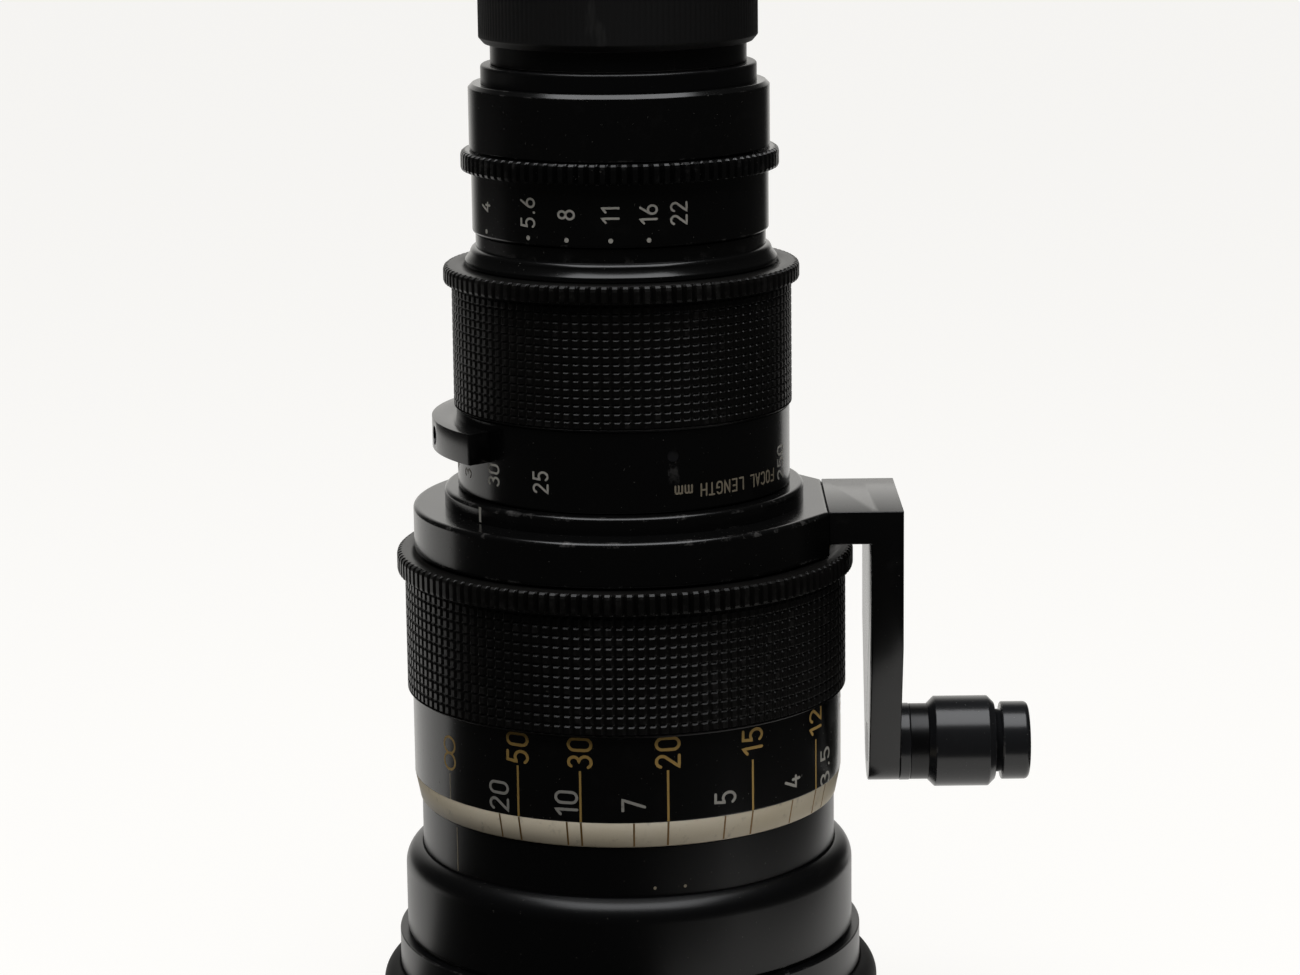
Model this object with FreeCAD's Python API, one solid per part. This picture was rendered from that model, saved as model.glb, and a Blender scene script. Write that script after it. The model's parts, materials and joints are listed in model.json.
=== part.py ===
import FreeCAD, Part
import os
from math import acos, atan2, cos, pi, sin, sqrt

# A ten-to-one zoom lens for a film camera, standing on its front cap.
# The optical axis is Z and the camera end is up.  Bearings are measured from -Y, positive towards +X.
# All lengths are millimetres.

# Heights, from the front cap's face upwards
FRONT_CAP_HEIGHT = 21.5
FRONT_CAP_FLOOR = 3.0
FRONT_CAP_ROUND = 5.5          # radius of the cap's rounded top edge
FILTER_RING_TUCK = 7.5         # how far the filter ring reaches down inside the cap
FILTER_RING_SHOW = 9.7         # the part of the filter ring above the cap
FILTER_SPIGOT = 6.8
FRONT_COLLAR_HEIGHT = 22.2
FRONT_COLLAR_ROUND = 5.8
FRONT_BARREL_SHOW = 12.2
FOCUS_BAND_HEIGHT = 6.5
FOCUS_SCALE_HEIGHT = 18.9
FOCUS_PLAIN_HEIGHT = 2.2       # the focus ring's smooth foot, level with the scale ring
FOCUS_CHAMFER_HEIGHT = 0.8
FOCUS_KNURL_HEIGHT = 32.9
FOCUS_GEAR_HEIGHT = 5.4
SUPPORT_COLLAR_HEIGHT = 11.3
INDEX_COLLAR_HEIGHT = 4.4
ZOOM_SCALE_HEIGHT = 19.8
ZOOM_KNURL_HEIGHT = 31.2
ZOOM_GEAR_HEIGHT = 4.4
FLARE_HEIGHT = 4.3
FLARE_FOOT = 1.0
GROOVE_HEIGHT = 3.3
IRIS_RING_HEIGHT = 15.2
IRIS_GEAR_HEIGHT = 5.0
REAR_RING_HEIGHT = 16.0
MOUNT_FLANGE_HEIGHT = 4.6
NECK_HEIGHT = 5.1
REAR_CAP_HEIGHT = 25.1
REAR_CAP_ROOF = 3.0
RING_GAP = 0.3                 # gap along the axis between a turning ring and its fixed neighbours

# Walls, fits and edges
FIT = 0.02                     # radial gap of pieces that are screwed or bonded together
RUN = 0.05                     # radial gap of pieces that turn or slide on each other
SLOT_PLAY = 0.1                # side gap of a pin or key in its slot
CAP_PLAY = 0.25
EDGE = 0.6
SLEEVE_WALL = 1.5
CELL_WALL = 3.6
GUIDE_WALL = 2.5
CAM_WALL = 2.95
CARRIER_WALL = 5.5
RELAY_WALL = 3.0

# Front radii, all from the fixed front barrel
FRONT_BARREL_R = 52.5
FRONT_COLLAR_R = FRONT_BARREL_R + 4.5
FRONT_SPIGOT_R = FRONT_COLLAR_R - 3.0
FILTER_RING_R = FRONT_COLLAR_R + 2.0
FRONT_CAP_R = FILTER_RING_R + 4.4
BAND_FOOT_R = FRONT_BARREL_R + 0.4
FOCUS_SCALE_R = FRONT_BARREL_R + 1.7
FOCUS_KNURL_R = FOCUS_SCALE_R + 1.3
FOCUS_GEAR_R = FOCUS_KNURL_R + 1.9
SUPPORT_COLLAR_R = FRONT_BARREL_R + 0.5
CELL_BORE_R = FRONT_BARREL_R - 5.45        # the front barrel's bore for the focusing cell
COLLAR_SPIGOT_R = CELL_BORE_R + 0.95
COLLAR_SPIGOT = 3.0
SLEEVE_IN_R = FRONT_BARREL_R - 2.0
SLEEVE_OUT_R = SLEEVE_IN_R + SLEEVE_WALL
BEARING_R = SLEEVE_IN_R - RUN              # the front barrel under the turning sleeve
CELL_R = CELL_BORE_R - RUN
CELL_INNER_R = CELL_R - CELL_WALL
CELL_SHOULDER_R = CELL_INNER_R - 5.4

# Rear radii, all from the bore of the guide tube
GUIDE_R = 27.0
GUIDE_FLANGE = 4.0
GUIDE_OUT_R = GUIDE_R + GUIDE_WALL
CAM_IN_R = GUIDE_OUT_R + RUN
CAM_OUT_R = CAM_IN_R + CAM_WALL
CAM_BEARING_R = CAM_OUT_R + 3.5
ZOOM_BORE_R = CAM_OUT_R + CARRIER_WALL
INDEX_SPIGOT_R = ZOOM_BORE_R + 2.0
ZOOM_SCALE_R = ZOOM_BORE_R + 3.6
ZOOM_KNURL_R = ZOOM_SCALE_R + 0.6
ZOOM_GEAR_R = ZOOM_KNURL_R + 2.0
INDEX_COLLAR_R = ZOOM_SCALE_R + 3.4
FLARE_R = ZOOM_BORE_R + 0.7
RELAY_R = GUIDE_OUT_R + 3.5                # the relay barrel under the iris ring
RELAY_BORE_R = RELAY_R - RELAY_WALL
FLARE_NECK_R = RELAY_R + 3.9
GROOVE_R = RELAY_R + 3.0
IRIS_RING_R = RELAY_R + 3.7
IRIS_GEAR_R = IRIS_RING_R + 2.6
REAR_RING_R = RELAY_R + 4.1
MOUNT_FLANGE_R = RELAY_R + 0.95
MOUNT_SCREW_R = RELAY_R - 0.9
NECK_R = RELAY_R - 1.8
MOUNT_REGISTER_R = NECK_R + 0.6
REAR_CAP_R = MOUNT_REGISTER_R + 2.5

# Gear teeth on the three driven rings
FOCUS_TEETH = 134
ZOOM_TEETH = 107
IRIS_TEETH = 95
TOOTH_DEPTH = 1.5
GEAR_LAP = 0.5                 # how far a ring runs into the toothed ring it carries

# Focus movement
FOCUS_TURN = 331.7             # degrees from infinity to the nearest distance
FOCUS_LEAD = 12.0              # cell travel in one turn
KEY_BEARINGS = (30, 150, 270)
KEY_WIDTH = 4.0
KEY_HEIGHT = 5.0
KEY_DEPTH = 2.5
KEY_DROP = 1.0                 # the keys' top below the cell's top
GUIDE_SCREW_BEARINGS = (0, 60, 120, 180, 240, 300)
GUIDE_SCREW_R = 1.2
GUIDE_SCREW_DEPTH = 5.0

# Zoom movement
ZOOM_TURN = 262.7              # degrees from the shortest to the longest focal length
ZOOM_SET = 25.6                # degrees from the shortest focal length to the rest setting
VARIATOR_LEAD = 71.0
COMPENSATOR_LEAD = 19.0
FOLLOWER_R = 2.0
FOLLOWER_GRIP = 2.0            # the followers' inner ends outside the glass
VARIATOR_BEARINGS = (0, 120, 240)
COMPENSATOR_BEARINGS = (60, 180, 300)
VARIATOR_HALF = 7.0
COMPENSATOR_HALF = 6.0

# Iris movement
IRIS_TURN = 93.6               # degrees from fully open to fully closed
IRIS_SET = 13.0                # degrees from fully open to the rest setting
IRIS_PIN_R = 1.5
IRIS_PIN_BEARING = 200
DRIVE_HALF = 3.0
DRIVE_WALL = 5.0
BLADES = 8
BLADE_THICK = 0.2
BLADE_STEP = 0.25
BLADE_HOLE_R = 10.0
BLADE_SPAN = 120
HOUSING_RIM = 2.0              # wall of the iris housing's rim round the blades

# Zoom lever lug
LUG_R = ZOOM_SCALE_R + 6.2
LUG_HEIGHT = 7.6
LUG_RISE = 10.0                # lug's underside above the foot of the zoom scale ring
LUG_CENTRE = -96
LUG_SPAN = 90
LUG_SCREW_OFFSET = 18
LUG_SCREW_HEAD_R = 2.4
LUG_SCREW_HEAD = 2.8
LUG_SCREW_SUNK = 0.7
LEVER_THREAD_R = 2.5
LEVER_THREAD_DEPTH = 6.0
SET_SCREW_BEARINGS = (17, 107, 197)
SET_SCREW_R = 1.5
SET_SCREW_SUNK = 0.3

# Support arm
ARM_WIDTH = 41.2
PAD_PROUD = 1.7                # how far the arm's pad stands out of the support collar
PAD_X = sqrt(SUPPORT_COLLAR_R ** 2 - (ARM_WIDTH / 2) ** 2) + PAD_PROUD
ARM_REACH = 18.4               # the arm's outer face from its pad
ARM_OUT = PAD_X + ARM_REACH
ARM_THICK = 7.9
ARM_LEG_THICK = 8.2
ARM_DROP = 64.4                # from the support collar's top down to the stud's axis
ARM_STRAIGHT = 35.4            # from the support collar's top down to where the taper starts
ARM_END_R = 9.7
ARM_SCREW_R = 2.0
ARM_SCREW_HEAD_R = 3.5
ARM_SCREW_HEAD = 4.0
ARM_SCREW_SUNK = 0.4
ARM_SCREW_SPREAD = 12.0
ARM_SCREW_DROP = 4.2           # the screws' centre below the support collar's top

# Support stud
STUD_HOLE_R = 5.0
STUD_WASHER_R = 9.8
STUD_NECK_R = 9.65
STUD_WASHER = 2.9
STUD_NECK = 4.4
STUD_JOURNAL_R = 6.5
STUD_LAP = 0.5                 # how far one turned part of the stud runs into the next
STUD_GAP = 0.1
SLEEVE_R = 11.5
SLEEVE_LENGTH = 17.0
SLEEVE_CHAMFER = 1.7
STUD_GROOVE = 1.5
STUD_GROOVE_R = 8.0
STUD_CAP_R = 9.9
STUD_CAP_LENGTH = 7.1
STUD_CAP_ROUND = 1.2

# Camera mount
MOUNT_REGISTER = 2.5
MOUNT_TUBE_R = NECK_R - 5.2
MOUNT_TUBE = 15.0
MOUNT_BORE_R = MOUNT_TUBE_R - 5.0
MOUNT_SEAT_R = NECK_R - 1.8
MOUNT_SEAT = 0.2
MOUNT_EAR_R = MOUNT_TUBE_R + 4.0
MOUNT_EAR = 3.0
MOUNT_EAR_RISE = 7.0
MOUNT_EAR_SPAN = 50
MOUNT_EAR_BEARINGS = (0, 120, 240)
MOUNT_SCREW_BEARINGS = (45, 135, 225, 315)
MOUNT_SCREW_RADIUS = 0.8
MOUNT_SCREW_GRIP = 6.0
MOUNT_SCREW_SUNK = 1.2

# Glass and the cells that hold it
ZOOM_GLASS_R = GUIDE_R - 6.0
ZOOM_GLASS_THICK = 2.5
RELAY_GLASS_R = GUIDE_R - 9.0
GLASS_LEDGE = 2.0              # how far a cell's ledge reaches in over the glass
LEDGE_THICK = 1.5
VARIATOR_SAGS = (0.9, 0.6)     # how far the two faces of each glass bulge
COMPENSATOR_SAGS = (-1.0, 0.6)
FRONT_GLASS_EDGE = 6.0
FRONT_GLASS_SPACE = 3.5
RETAINER_HEIGHT = 5.0
RETAINER_WALL = 3.0
RELAY_FRONT_THICK = 3.0
RELAY_INNER_THICK = 4.0
RELAY_OUTER_THICK = 4.5
RELAY_AIR = 9.5                # gap between the two glasses behind the iris
RELAY_CELL_WALL = 3.0
RELAY_FLANGE = 4.0

# Levels worked out from the heights
CAP_TOP = FRONT_CAP_HEIGHT
FILTER_FOOT = CAP_TOP - FILTER_RING_TUCK
COLLAR_FOOT = CAP_TOP + FILTER_RING_SHOW
BARREL_FOOT = COLLAR_FOOT + FILTER_SPIGOT
COLLAR_TOP = COLLAR_FOOT + FRONT_COLLAR_HEIGHT
SHOW_TOP = COLLAR_TOP + FRONT_BARREL_SHOW
BAND_FOOT = SHOW_TOP + RING_GAP
FOCUS_SCALE_FOOT = BAND_FOOT + FOCUS_BAND_HEIGHT
FOCUS_RING_FOOT = FOCUS_SCALE_FOOT + FOCUS_SCALE_HEIGHT
FOCUS_GEAR_FOOT = FOCUS_RING_FOOT + FOCUS_KNURL_HEIGHT
FOCUS_TOP = FOCUS_GEAR_FOOT + FOCUS_GEAR_HEIGHT
SUPPORT_FOOT = FOCUS_TOP + RING_GAP
SUPPORT_TOP = SUPPORT_FOOT + SUPPORT_COLLAR_HEIGHT
INDEX_TOP = SUPPORT_TOP + INDEX_COLLAR_HEIGHT
ZOOM_FOOT = INDEX_TOP + RING_GAP
ZOOM_RING_FOOT = ZOOM_FOOT + ZOOM_SCALE_HEIGHT
ZOOM_GEAR_FOOT = ZOOM_RING_FOOT + ZOOM_KNURL_HEIGHT
ZOOM_TOP = ZOOM_GEAR_FOOT + ZOOM_GEAR_HEIGHT
RELAY_FOOT = ZOOM_TOP + RING_GAP
GROOVE_FOOT = RELAY_FOOT + FLARE_HEIGHT
IRIS_SEAT = GROOVE_FOOT + GROOVE_HEIGHT
IRIS_FOOT = IRIS_SEAT + RING_GAP
IRIS_GEAR_FOOT = IRIS_FOOT + IRIS_RING_HEIGHT
IRIS_TOP = IRIS_GEAR_FOOT + IRIS_GEAR_HEIGHT
REAR_RING_FOOT = IRIS_TOP + RING_GAP
REAR_RING_TOP = REAR_RING_FOOT + REAR_RING_HEIGHT
NECK_FOOT = REAR_RING_TOP + MOUNT_FLANGE_HEIGHT
REAR_CAP_FOOT = NECK_FOOT + NECK_HEIGHT
REGISTER_FOOT = REAR_CAP_FOOT + 2 * RING_GAP
MOUNT_TOP = REGISTER_FOOT + MOUNT_REGISTER + MOUNT_TUBE
REAR_CAP_TOP = REAR_CAP_FOOT + REAR_CAP_HEIGHT

# Levels inside
RELAY_SPIGOT = 4.2
GUIDE_FOOT = FOCUS_RING_FOOT - 3.3
CELL_TOP = GUIDE_FOOT - 2.0
CELL_FOOT = BARREL_FOOT
CELL_SHOULDER = 34.0           # from the cell's foot up to the shoulder behind the glass
KEY_FOOT = CELL_TOP - KEY_DROP - KEY_HEIGHT
FOCUS_TRAVEL = FOCUS_LEAD * FOCUS_TURN / 360
CAM_FOOT = GUIDE_FOOT + GUIDE_FLANGE + RING_GAP
CAM_TOP = ZOOM_TOP - RELAY_SPIGOT - RING_GAP
GUIDE_TOP = RELAY_FOOT + 4.0
VARIATOR_MIN = GUIDE_FOOT + GUIDE_FLANGE + VARIATOR_HALF + 1.0
COMPENSATOR_MAX = RELAY_FOOT - RELAY_SPIGOT - COMPENSATOR_HALF - 0.8
VARIATOR_SET = VARIATOR_MIN + VARIATOR_LEAD * ZOOM_SET / 360
COMPENSATOR_SET = COMPENSATOR_MAX - COMPENSATOR_LEAD * ZOOM_SET / 360
VARIATOR_TRAVEL = VARIATOR_LEAD * ZOOM_TURN / 360
COMPENSATOR_TRAVEL = COMPENSATOR_LEAD * ZOOM_TURN / 360
FOLLOWER_END_R = CAM_OUT_R - 0.2
IRIS_LEVEL = IRIS_FOOT + IRIS_RING_HEIGHT / 2
STUD_Z = SUPPORT_TOP - ARM_DROP
LUG_FOOT = ZOOM_FOOT + LUG_RISE

ORIGIN = FreeCAD.Vector(0, 0, 0)
UP = FreeCAD.Vector(0, 0, 1)


def place(shape, bearing):
    """The shape, made facing -Y, turned to its bearing."""
    turned_shape = shape.copy()
    turned_shape.rotate(ORIGIN, UP, bearing)
    return turned_shape


def spun(outline, degrees_round=360):
    """A closed outline turned round the axis into a solid, with its faces outwards."""
    solid = Part.Face(outline).revolve(ORIGIN, UP, degrees_round)
    if solid.Volume < 0:
        solid.reverse()
    return solid


def turned(points):
    """A closed outline of (radius, height) points turned round the axis."""
    corners = [FreeCAD.Vector(r, 0, z) for r, z in points]
    return spun(Part.makePolygon(corners + [corners[0]]))


def tube(outer, inner, foot, top, chamfer=0.0):
    """A plain ring, with its two outer edges chamfered."""
    points = [(inner, foot), (outer - chamfer, foot)]
    if chamfer:
        points.append((outer, foot + chamfer))
        points.append((outer, top - chamfer))
    points.append((outer - chamfer, top))
    points.append((inner, top))
    return turned(points)


def sector(outer, inner, foot, top, centre, span):
    """A part of a ring, span degrees wide about its centre bearing."""
    corners = [(inner, foot), (outer, foot), (outer, top), (inner, top)]
    points = [FreeCAD.Vector(0, -r, z) for r, z in corners]
    return place(spun(Part.makePolygon(points + [points[0]]), span), centre - span / 2)


def spoke(radius, inner, outer, level, bearing):
    """A round bar that lies along a radius."""
    start = FreeCAD.Vector(0, -inner, level)
    bar = Part.makeCylinder(radius, outer - inner, start, FreeCAD.Vector(0, -1, 0))
    return place(bar, bearing)


def block(width, inner, outer, foot, top, bearing):
    """A square bar that lies along a radius."""
    bar = Part.makeBox(width, outer - inner, top - foot, FreeCAD.Vector(-width / 2, -outer, foot))
    return place(bar, bearing)


def post(radius, r, bearing, foot, top):
    """A round bar parallel to the axis, at radius r from it."""
    bar = Part.makeCylinder(radius, top - foot, FreeCAD.Vector(0, -r, foot), UP)
    return place(bar, bearing)


def axle(radius, start, end):
    """A round bar along the stud's axis."""
    return Part.makeCylinder(radius, end - start, FreeCAD.Vector(start, 0, STUD_Z), FreeCAD.Vector(1, 0, 0))


def gear(tip, inner, teeth, foot, height):
    """A ring with straight-sided teeth."""
    root = tip - TOOTH_DEPTH
    pitch = 2 * pi / teeth
    points = []
    for tooth in range(teeth):
        start = tooth * pitch
        for share, radius in ((0.0, root), (0.18, tip), (0.46, tip), (0.64, root)):
            angle = start + share * pitch
            points.append(FreeCAD.Vector(radius * cos(angle), radius * sin(angle), foot))
    outline = Part.makePolygon(points + [points[0]])
    hole = Part.Wire([Part.makeCircle(inner, FreeCAD.Vector(0, 0, foot))])
    return Part.Face([outline, hole]).extrude(FreeCAD.Vector(0, 0, height))


def bulge(radius, sag, edge, share):
    """The height of a spherical face at a share of its radius; a positive sag stands above the edge."""
    sphere = (radius * radius + sag * sag) / (2 * abs(sag))
    rise = sqrt(sphere * sphere - (share * radius) ** 2) - (sphere - abs(sag))
    return edge + (rise if sag > 0 else -rise)


def lens(radius, foot, top, foot_sag, top_sag):
    """A glass element with two spherical faces; a positive sag bulges outwards."""
    low = [FreeCAD.Vector(s * radius, 0, bulge(radius, -foot_sag, foot, s)) for s in (0, 0.5, 1)]
    high = [FreeCAD.Vector(s * radius, 0, bulge(radius, top_sag, top, s)) for s in (1, 0.5, 0)]
    edges = [
        Part.Arc(low[0], low[1], low[2]).toShape(),
        Part.LineSegment(low[2], high[0]).toShape(),
        Part.Arc(high[0], high[1], high[2]).toShape(),
        Part.LineSegment(high[2], low[0]).toShape(),
    ]
    return spun(Part.Wire(edges))


def spiral_slot(lead, start_turn, turn, level, bearing, left_handed):
    """The cutter of a spiral slot through the cam barrel, which passes the given level at the bearing."""
    half = FOLLOWER_R + SLOT_PLAY
    inner = CAM_IN_R - 1.0
    outer = CAM_OUT_R + 0.1
    middle = (inner + outer) / 2
    spine = Part.makeHelix(lead, lead * turn / 360, middle)
    slope = atan2(lead, 2 * pi * middle)
    across = FreeCAD.Vector(0, -sin(slope) * half, cos(slope) * half)
    low = FreeCAD.Vector(inner, 0, 0)
    high = FreeCAD.Vector(outer, 0, 0)
    corners = [low - across, high - across, high + across, low + across]
    section = Part.makePolygon(corners + [corners[0]])
    cutter = Part.Wire(spine.Edges).makePipeShell([section], True, True)
    cutter.translate(FreeCAD.Vector(0, 0, -lead * start_turn / 360))
    cutter.rotate(ORIGIN, UP, -start_turn - 90)
    if left_handed:
        cutter = cutter.mirror(ORIGIN, FreeCAD.Vector(1, 0, 0))
    cutter.translate(FreeCAD.Vector(0, 0, level))
    ends = []
    for at in (-start_turn, turn - start_turn):
        height = level + lead * at / 360
        ends.append(spoke(half + RUN, inner, outer, height, bearing + (-at if left_handed else at)))
    return [place(cutter, bearing)] + ends


def joined(shapes):
    """Several separate solids that make one node."""
    return Part.makeCompound(shapes)


def rounded_top(outer, inner, top, radius):
    """Outline points of a rounded top edge, from the wall in to the inner radius."""
    steps = 6
    reach = (outer - inner) / radius
    last = acos(1 - reach) if reach < 1 else pi / 2
    turns = [last * step / steps for step in range(steps + 1)]
    return [(outer - radius * (1 - cos(t)), top - radius * (1 - sin(t))) for t in turns]


def front_end():
    """The cap, the filter ring, the front collar and the fixed front barrel."""
    cap_bore = FILTER_RING_R + CAP_PLAY
    ledge = cap_bore - 2.4
    cap = turned(
        [(0, 0), (FRONT_CAP_R - 1.5, 0), (FRONT_CAP_R, 1.5)]
        + rounded_top(FRONT_CAP_R, cap_bore, CAP_TOP, FRONT_CAP_ROUND)
        + [(cap_bore, FILTER_FOOT), (ledge, FILTER_FOOT)]
        + [(ledge, FRONT_CAP_FLOOR), (0, FRONT_CAP_FLOOR)]
    )
    neck = FRONT_COLLAR_R - EDGE
    filter_ring = turned([
        (BEARING_R, FILTER_FOOT), (FILTER_RING_R, FILTER_FOOT), (FILTER_RING_R, COLLAR_FOOT - 0.8),
        (neck, COLLAR_FOOT - 0.8), (neck, COLLAR_FOOT), (FRONT_SPIGOT_R, COLLAR_FOOT),
        (FRONT_SPIGOT_R, BARREL_FOOT), (BEARING_R, BARREL_FOOT),
    ])
    collar_bore = FRONT_SPIGOT_R + FIT
    hold = FRONT_BARREL_R + FIT
    collar = turned(
        [(collar_bore, COLLAR_FOOT), (FRONT_COLLAR_R, COLLAR_FOOT)]
        + rounded_top(FRONT_COLLAR_R, hold, COLLAR_TOP, FRONT_COLLAR_ROUND)
        + [(hold, BARREL_FOOT), (collar_bore, BARREL_FOOT)]
    )
    shoulder = GUIDE_FOOT + GUIDE_FLANGE
    spigot_top = SUPPORT_FOOT + COLLAR_SPIGOT
    inner = CELL_BORE_R - 1.0
    barrel = turned([
        (CELL_BORE_R, BARREL_FOOT), (FRONT_BARREL_R, BARREL_FOOT), (FRONT_BARREL_R, SHOW_TOP),
        (BEARING_R, SHOW_TOP), (BEARING_R, SUPPORT_FOOT), (COLLAR_SPIGOT_R, SUPPORT_FOOT),
        (COLLAR_SPIGOT_R, spigot_top), (inner, spigot_top), (inner, shoulder), (CELL_BORE_R, shoulder),
    ])
    slot_foot = KEY_FOOT - FOCUS_TRAVEL - SLOT_PLAY
    slot_top = KEY_FOOT + KEY_HEIGHT + SLOT_PLAY
    for bearing in KEY_BEARINGS:
        slot = block(KEY_WIDTH + 2 * SLOT_PLAY, inner, BEARING_R + 1.0, slot_foot, slot_top, bearing)
        barrel = barrel.cut(slot)
    barrel = barrel.cut(guide_screws())
    return {"front_cap": cap, "filter_ring": filter_ring, "front_collar": collar, "front_barrel": barrel}


def guide_screws():
    """The radial screws that hold the guide tube's flange in the front barrel."""
    level = GUIDE_FOOT + GUIDE_FLANGE / 2
    inner = CELL_BORE_R - GUIDE_SCREW_DEPTH
    outer = BEARING_R - 0.2
    return joined([spoke(GUIDE_SCREW_R, inner, outer, level, bearing) for bearing in GUIDE_SCREW_BEARINGS])


def guide():
    """The fixed tube that the zoom cells slide in, and the screws that hold its flange."""
    flange_r = CELL_BORE_R - FIT
    body = turned([
        (GUIDE_R, GUIDE_FOOT), (flange_r, GUIDE_FOOT), (flange_r, GUIDE_FOOT + GUIDE_FLANGE),
        (GUIDE_OUT_R, GUIDE_FOOT + GUIDE_FLANGE), (GUIDE_OUT_R, GUIDE_TOP), (GUIDE_R, GUIDE_TOP),
    ])
    half = FOLLOWER_R + SLOT_PLAY
    runs = [(VARIATOR_BEARINGS, VARIATOR_MIN, VARIATOR_MIN + VARIATOR_TRAVEL)]
    runs.append((COMPENSATOR_BEARINGS, COMPENSATOR_MAX - COMPENSATOR_TRAVEL, COMPENSATOR_MAX))
    for bearings, low, high in runs:
        for bearing in bearings:
            body = body.cut(block(2 * half, GUIDE_R - 1.0, GUIDE_OUT_R + 1.0, low, high, bearing))
            body = body.cut(spoke(half, GUIDE_R - 1.0, GUIDE_OUT_R + 1.0, low, bearing))
            body = body.cut(spoke(half, GUIDE_R - 1.0, GUIDE_OUT_R + 1.0, high, bearing))
    screws = guide_screws()
    return {"guide_tube": body.cut(screws), "guide_screws": screws}


def focusing_cell():
    """The sliding front cell with its glass, spacers, retainer and keys."""
    seat = CELL_FOOT + CELL_SHOULDER
    cell = turned([
        (CELL_INNER_R, CELL_FOOT), (CELL_R, CELL_FOOT), (CELL_R, CELL_TOP), (CELL_SHOULDER_R, CELL_TOP),
        (CELL_SHOULDER_R, seat), (CELL_INNER_R, seat),
    ])
    keys = []
    root = CELL_R - KEY_DEPTH
    for bearing in KEY_BEARINGS:
        keys.append(block(KEY_WIDTH, root, BEARING_R, KEY_FOOT, KEY_FOOT + KEY_HEIGHT, bearing))
        cell = cell.cut(block(KEY_WIDTH, root, CELL_R + 1.0, KEY_FOOT, KEY_FOOT + KEY_HEIGHT, bearing))
    inside = CELL_INNER_R - FIT
    retainer_foot = CELL_FOOT + 1.0
    first_foot = retainer_foot + RETAINER_HEIGHT
    first_top = first_foot + FRONT_GLASS_EDGE
    second_foot = first_top + FRONT_GLASS_SPACE
    second_top = second_foot + FRONT_GLASS_EDGE
    third_foot = second_top + FRONT_GLASS_SPACE
    retainer = tube(inside, inside - RETAINER_WALL, retainer_foot, first_foot)
    first = lens(inside, first_foot, first_top, 4.5, -2.0)
    second = lens(inside, second_foot, second_top, 2.5, 2.0)
    third = lens(inside, third_foot, seat, -2.0, 1.5)
    spacer_bore = inside - GLASS_LEDGE
    spacers = [tube(inside, spacer_bore, first_top, second_foot)]
    spacers.append(tube(inside, spacer_bore, second_top, third_foot))
    glass = joined([first, second, third])
    return {
        "front_cell": cell.cut(glass),
        "focus_keys": joined(keys),
        "front_retainer": retainer.cut(glass),
        "front_glass_outer": first,
        "front_glass_middle": second,
        "front_glass_inner": third,
        "front_spacers": joined(spacers).cut(glass),
    }


def focus_rings():
    """The focusing ring, its scale ring and band, and the threaded sleeve inside them."""
    sleeve = tube(SLEEVE_OUT_R, SLEEVE_IN_R, FOCUS_SCALE_FOOT, FOCUS_TOP - 2.0)
    bore = SLEEVE_OUT_R + FIT
    band_bore = SLEEVE_IN_R + 0.3
    band = turned([
        (band_bore, BAND_FOOT), (BAND_FOOT_R, BAND_FOOT), (FOCUS_SCALE_R, FOCUS_SCALE_FOOT),
        (band_bore, FOCUS_SCALE_FOOT),
    ])
    scale = tube(FOCUS_SCALE_R, bore, FOCUS_SCALE_FOOT, FOCUS_RING_FOOT)
    lap = FOCUS_GEAR_FOOT + GEAR_LAP
    plain_top = FOCUS_RING_FOOT + FOCUS_PLAIN_HEIGHT
    ring = turned([
        (bore, FOCUS_RING_FOOT), (FOCUS_SCALE_R, FOCUS_RING_FOOT), (FOCUS_SCALE_R, plain_top),
        (FOCUS_KNURL_R, plain_top + FOCUS_CHAMFER_HEIGHT), (FOCUS_KNURL_R, lap), (bore, lap),
    ])
    ring = ring.fuse(gear(FOCUS_GEAR_R, bore, FOCUS_TEETH, FOCUS_GEAR_FOOT, FOCUS_GEAR_HEIGHT))
    return {
        "focus_sleeve": sleeve,
        "focus_band": band,
        "focus_scale_ring": scale,
        "focus_ring": ring,
    }


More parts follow.
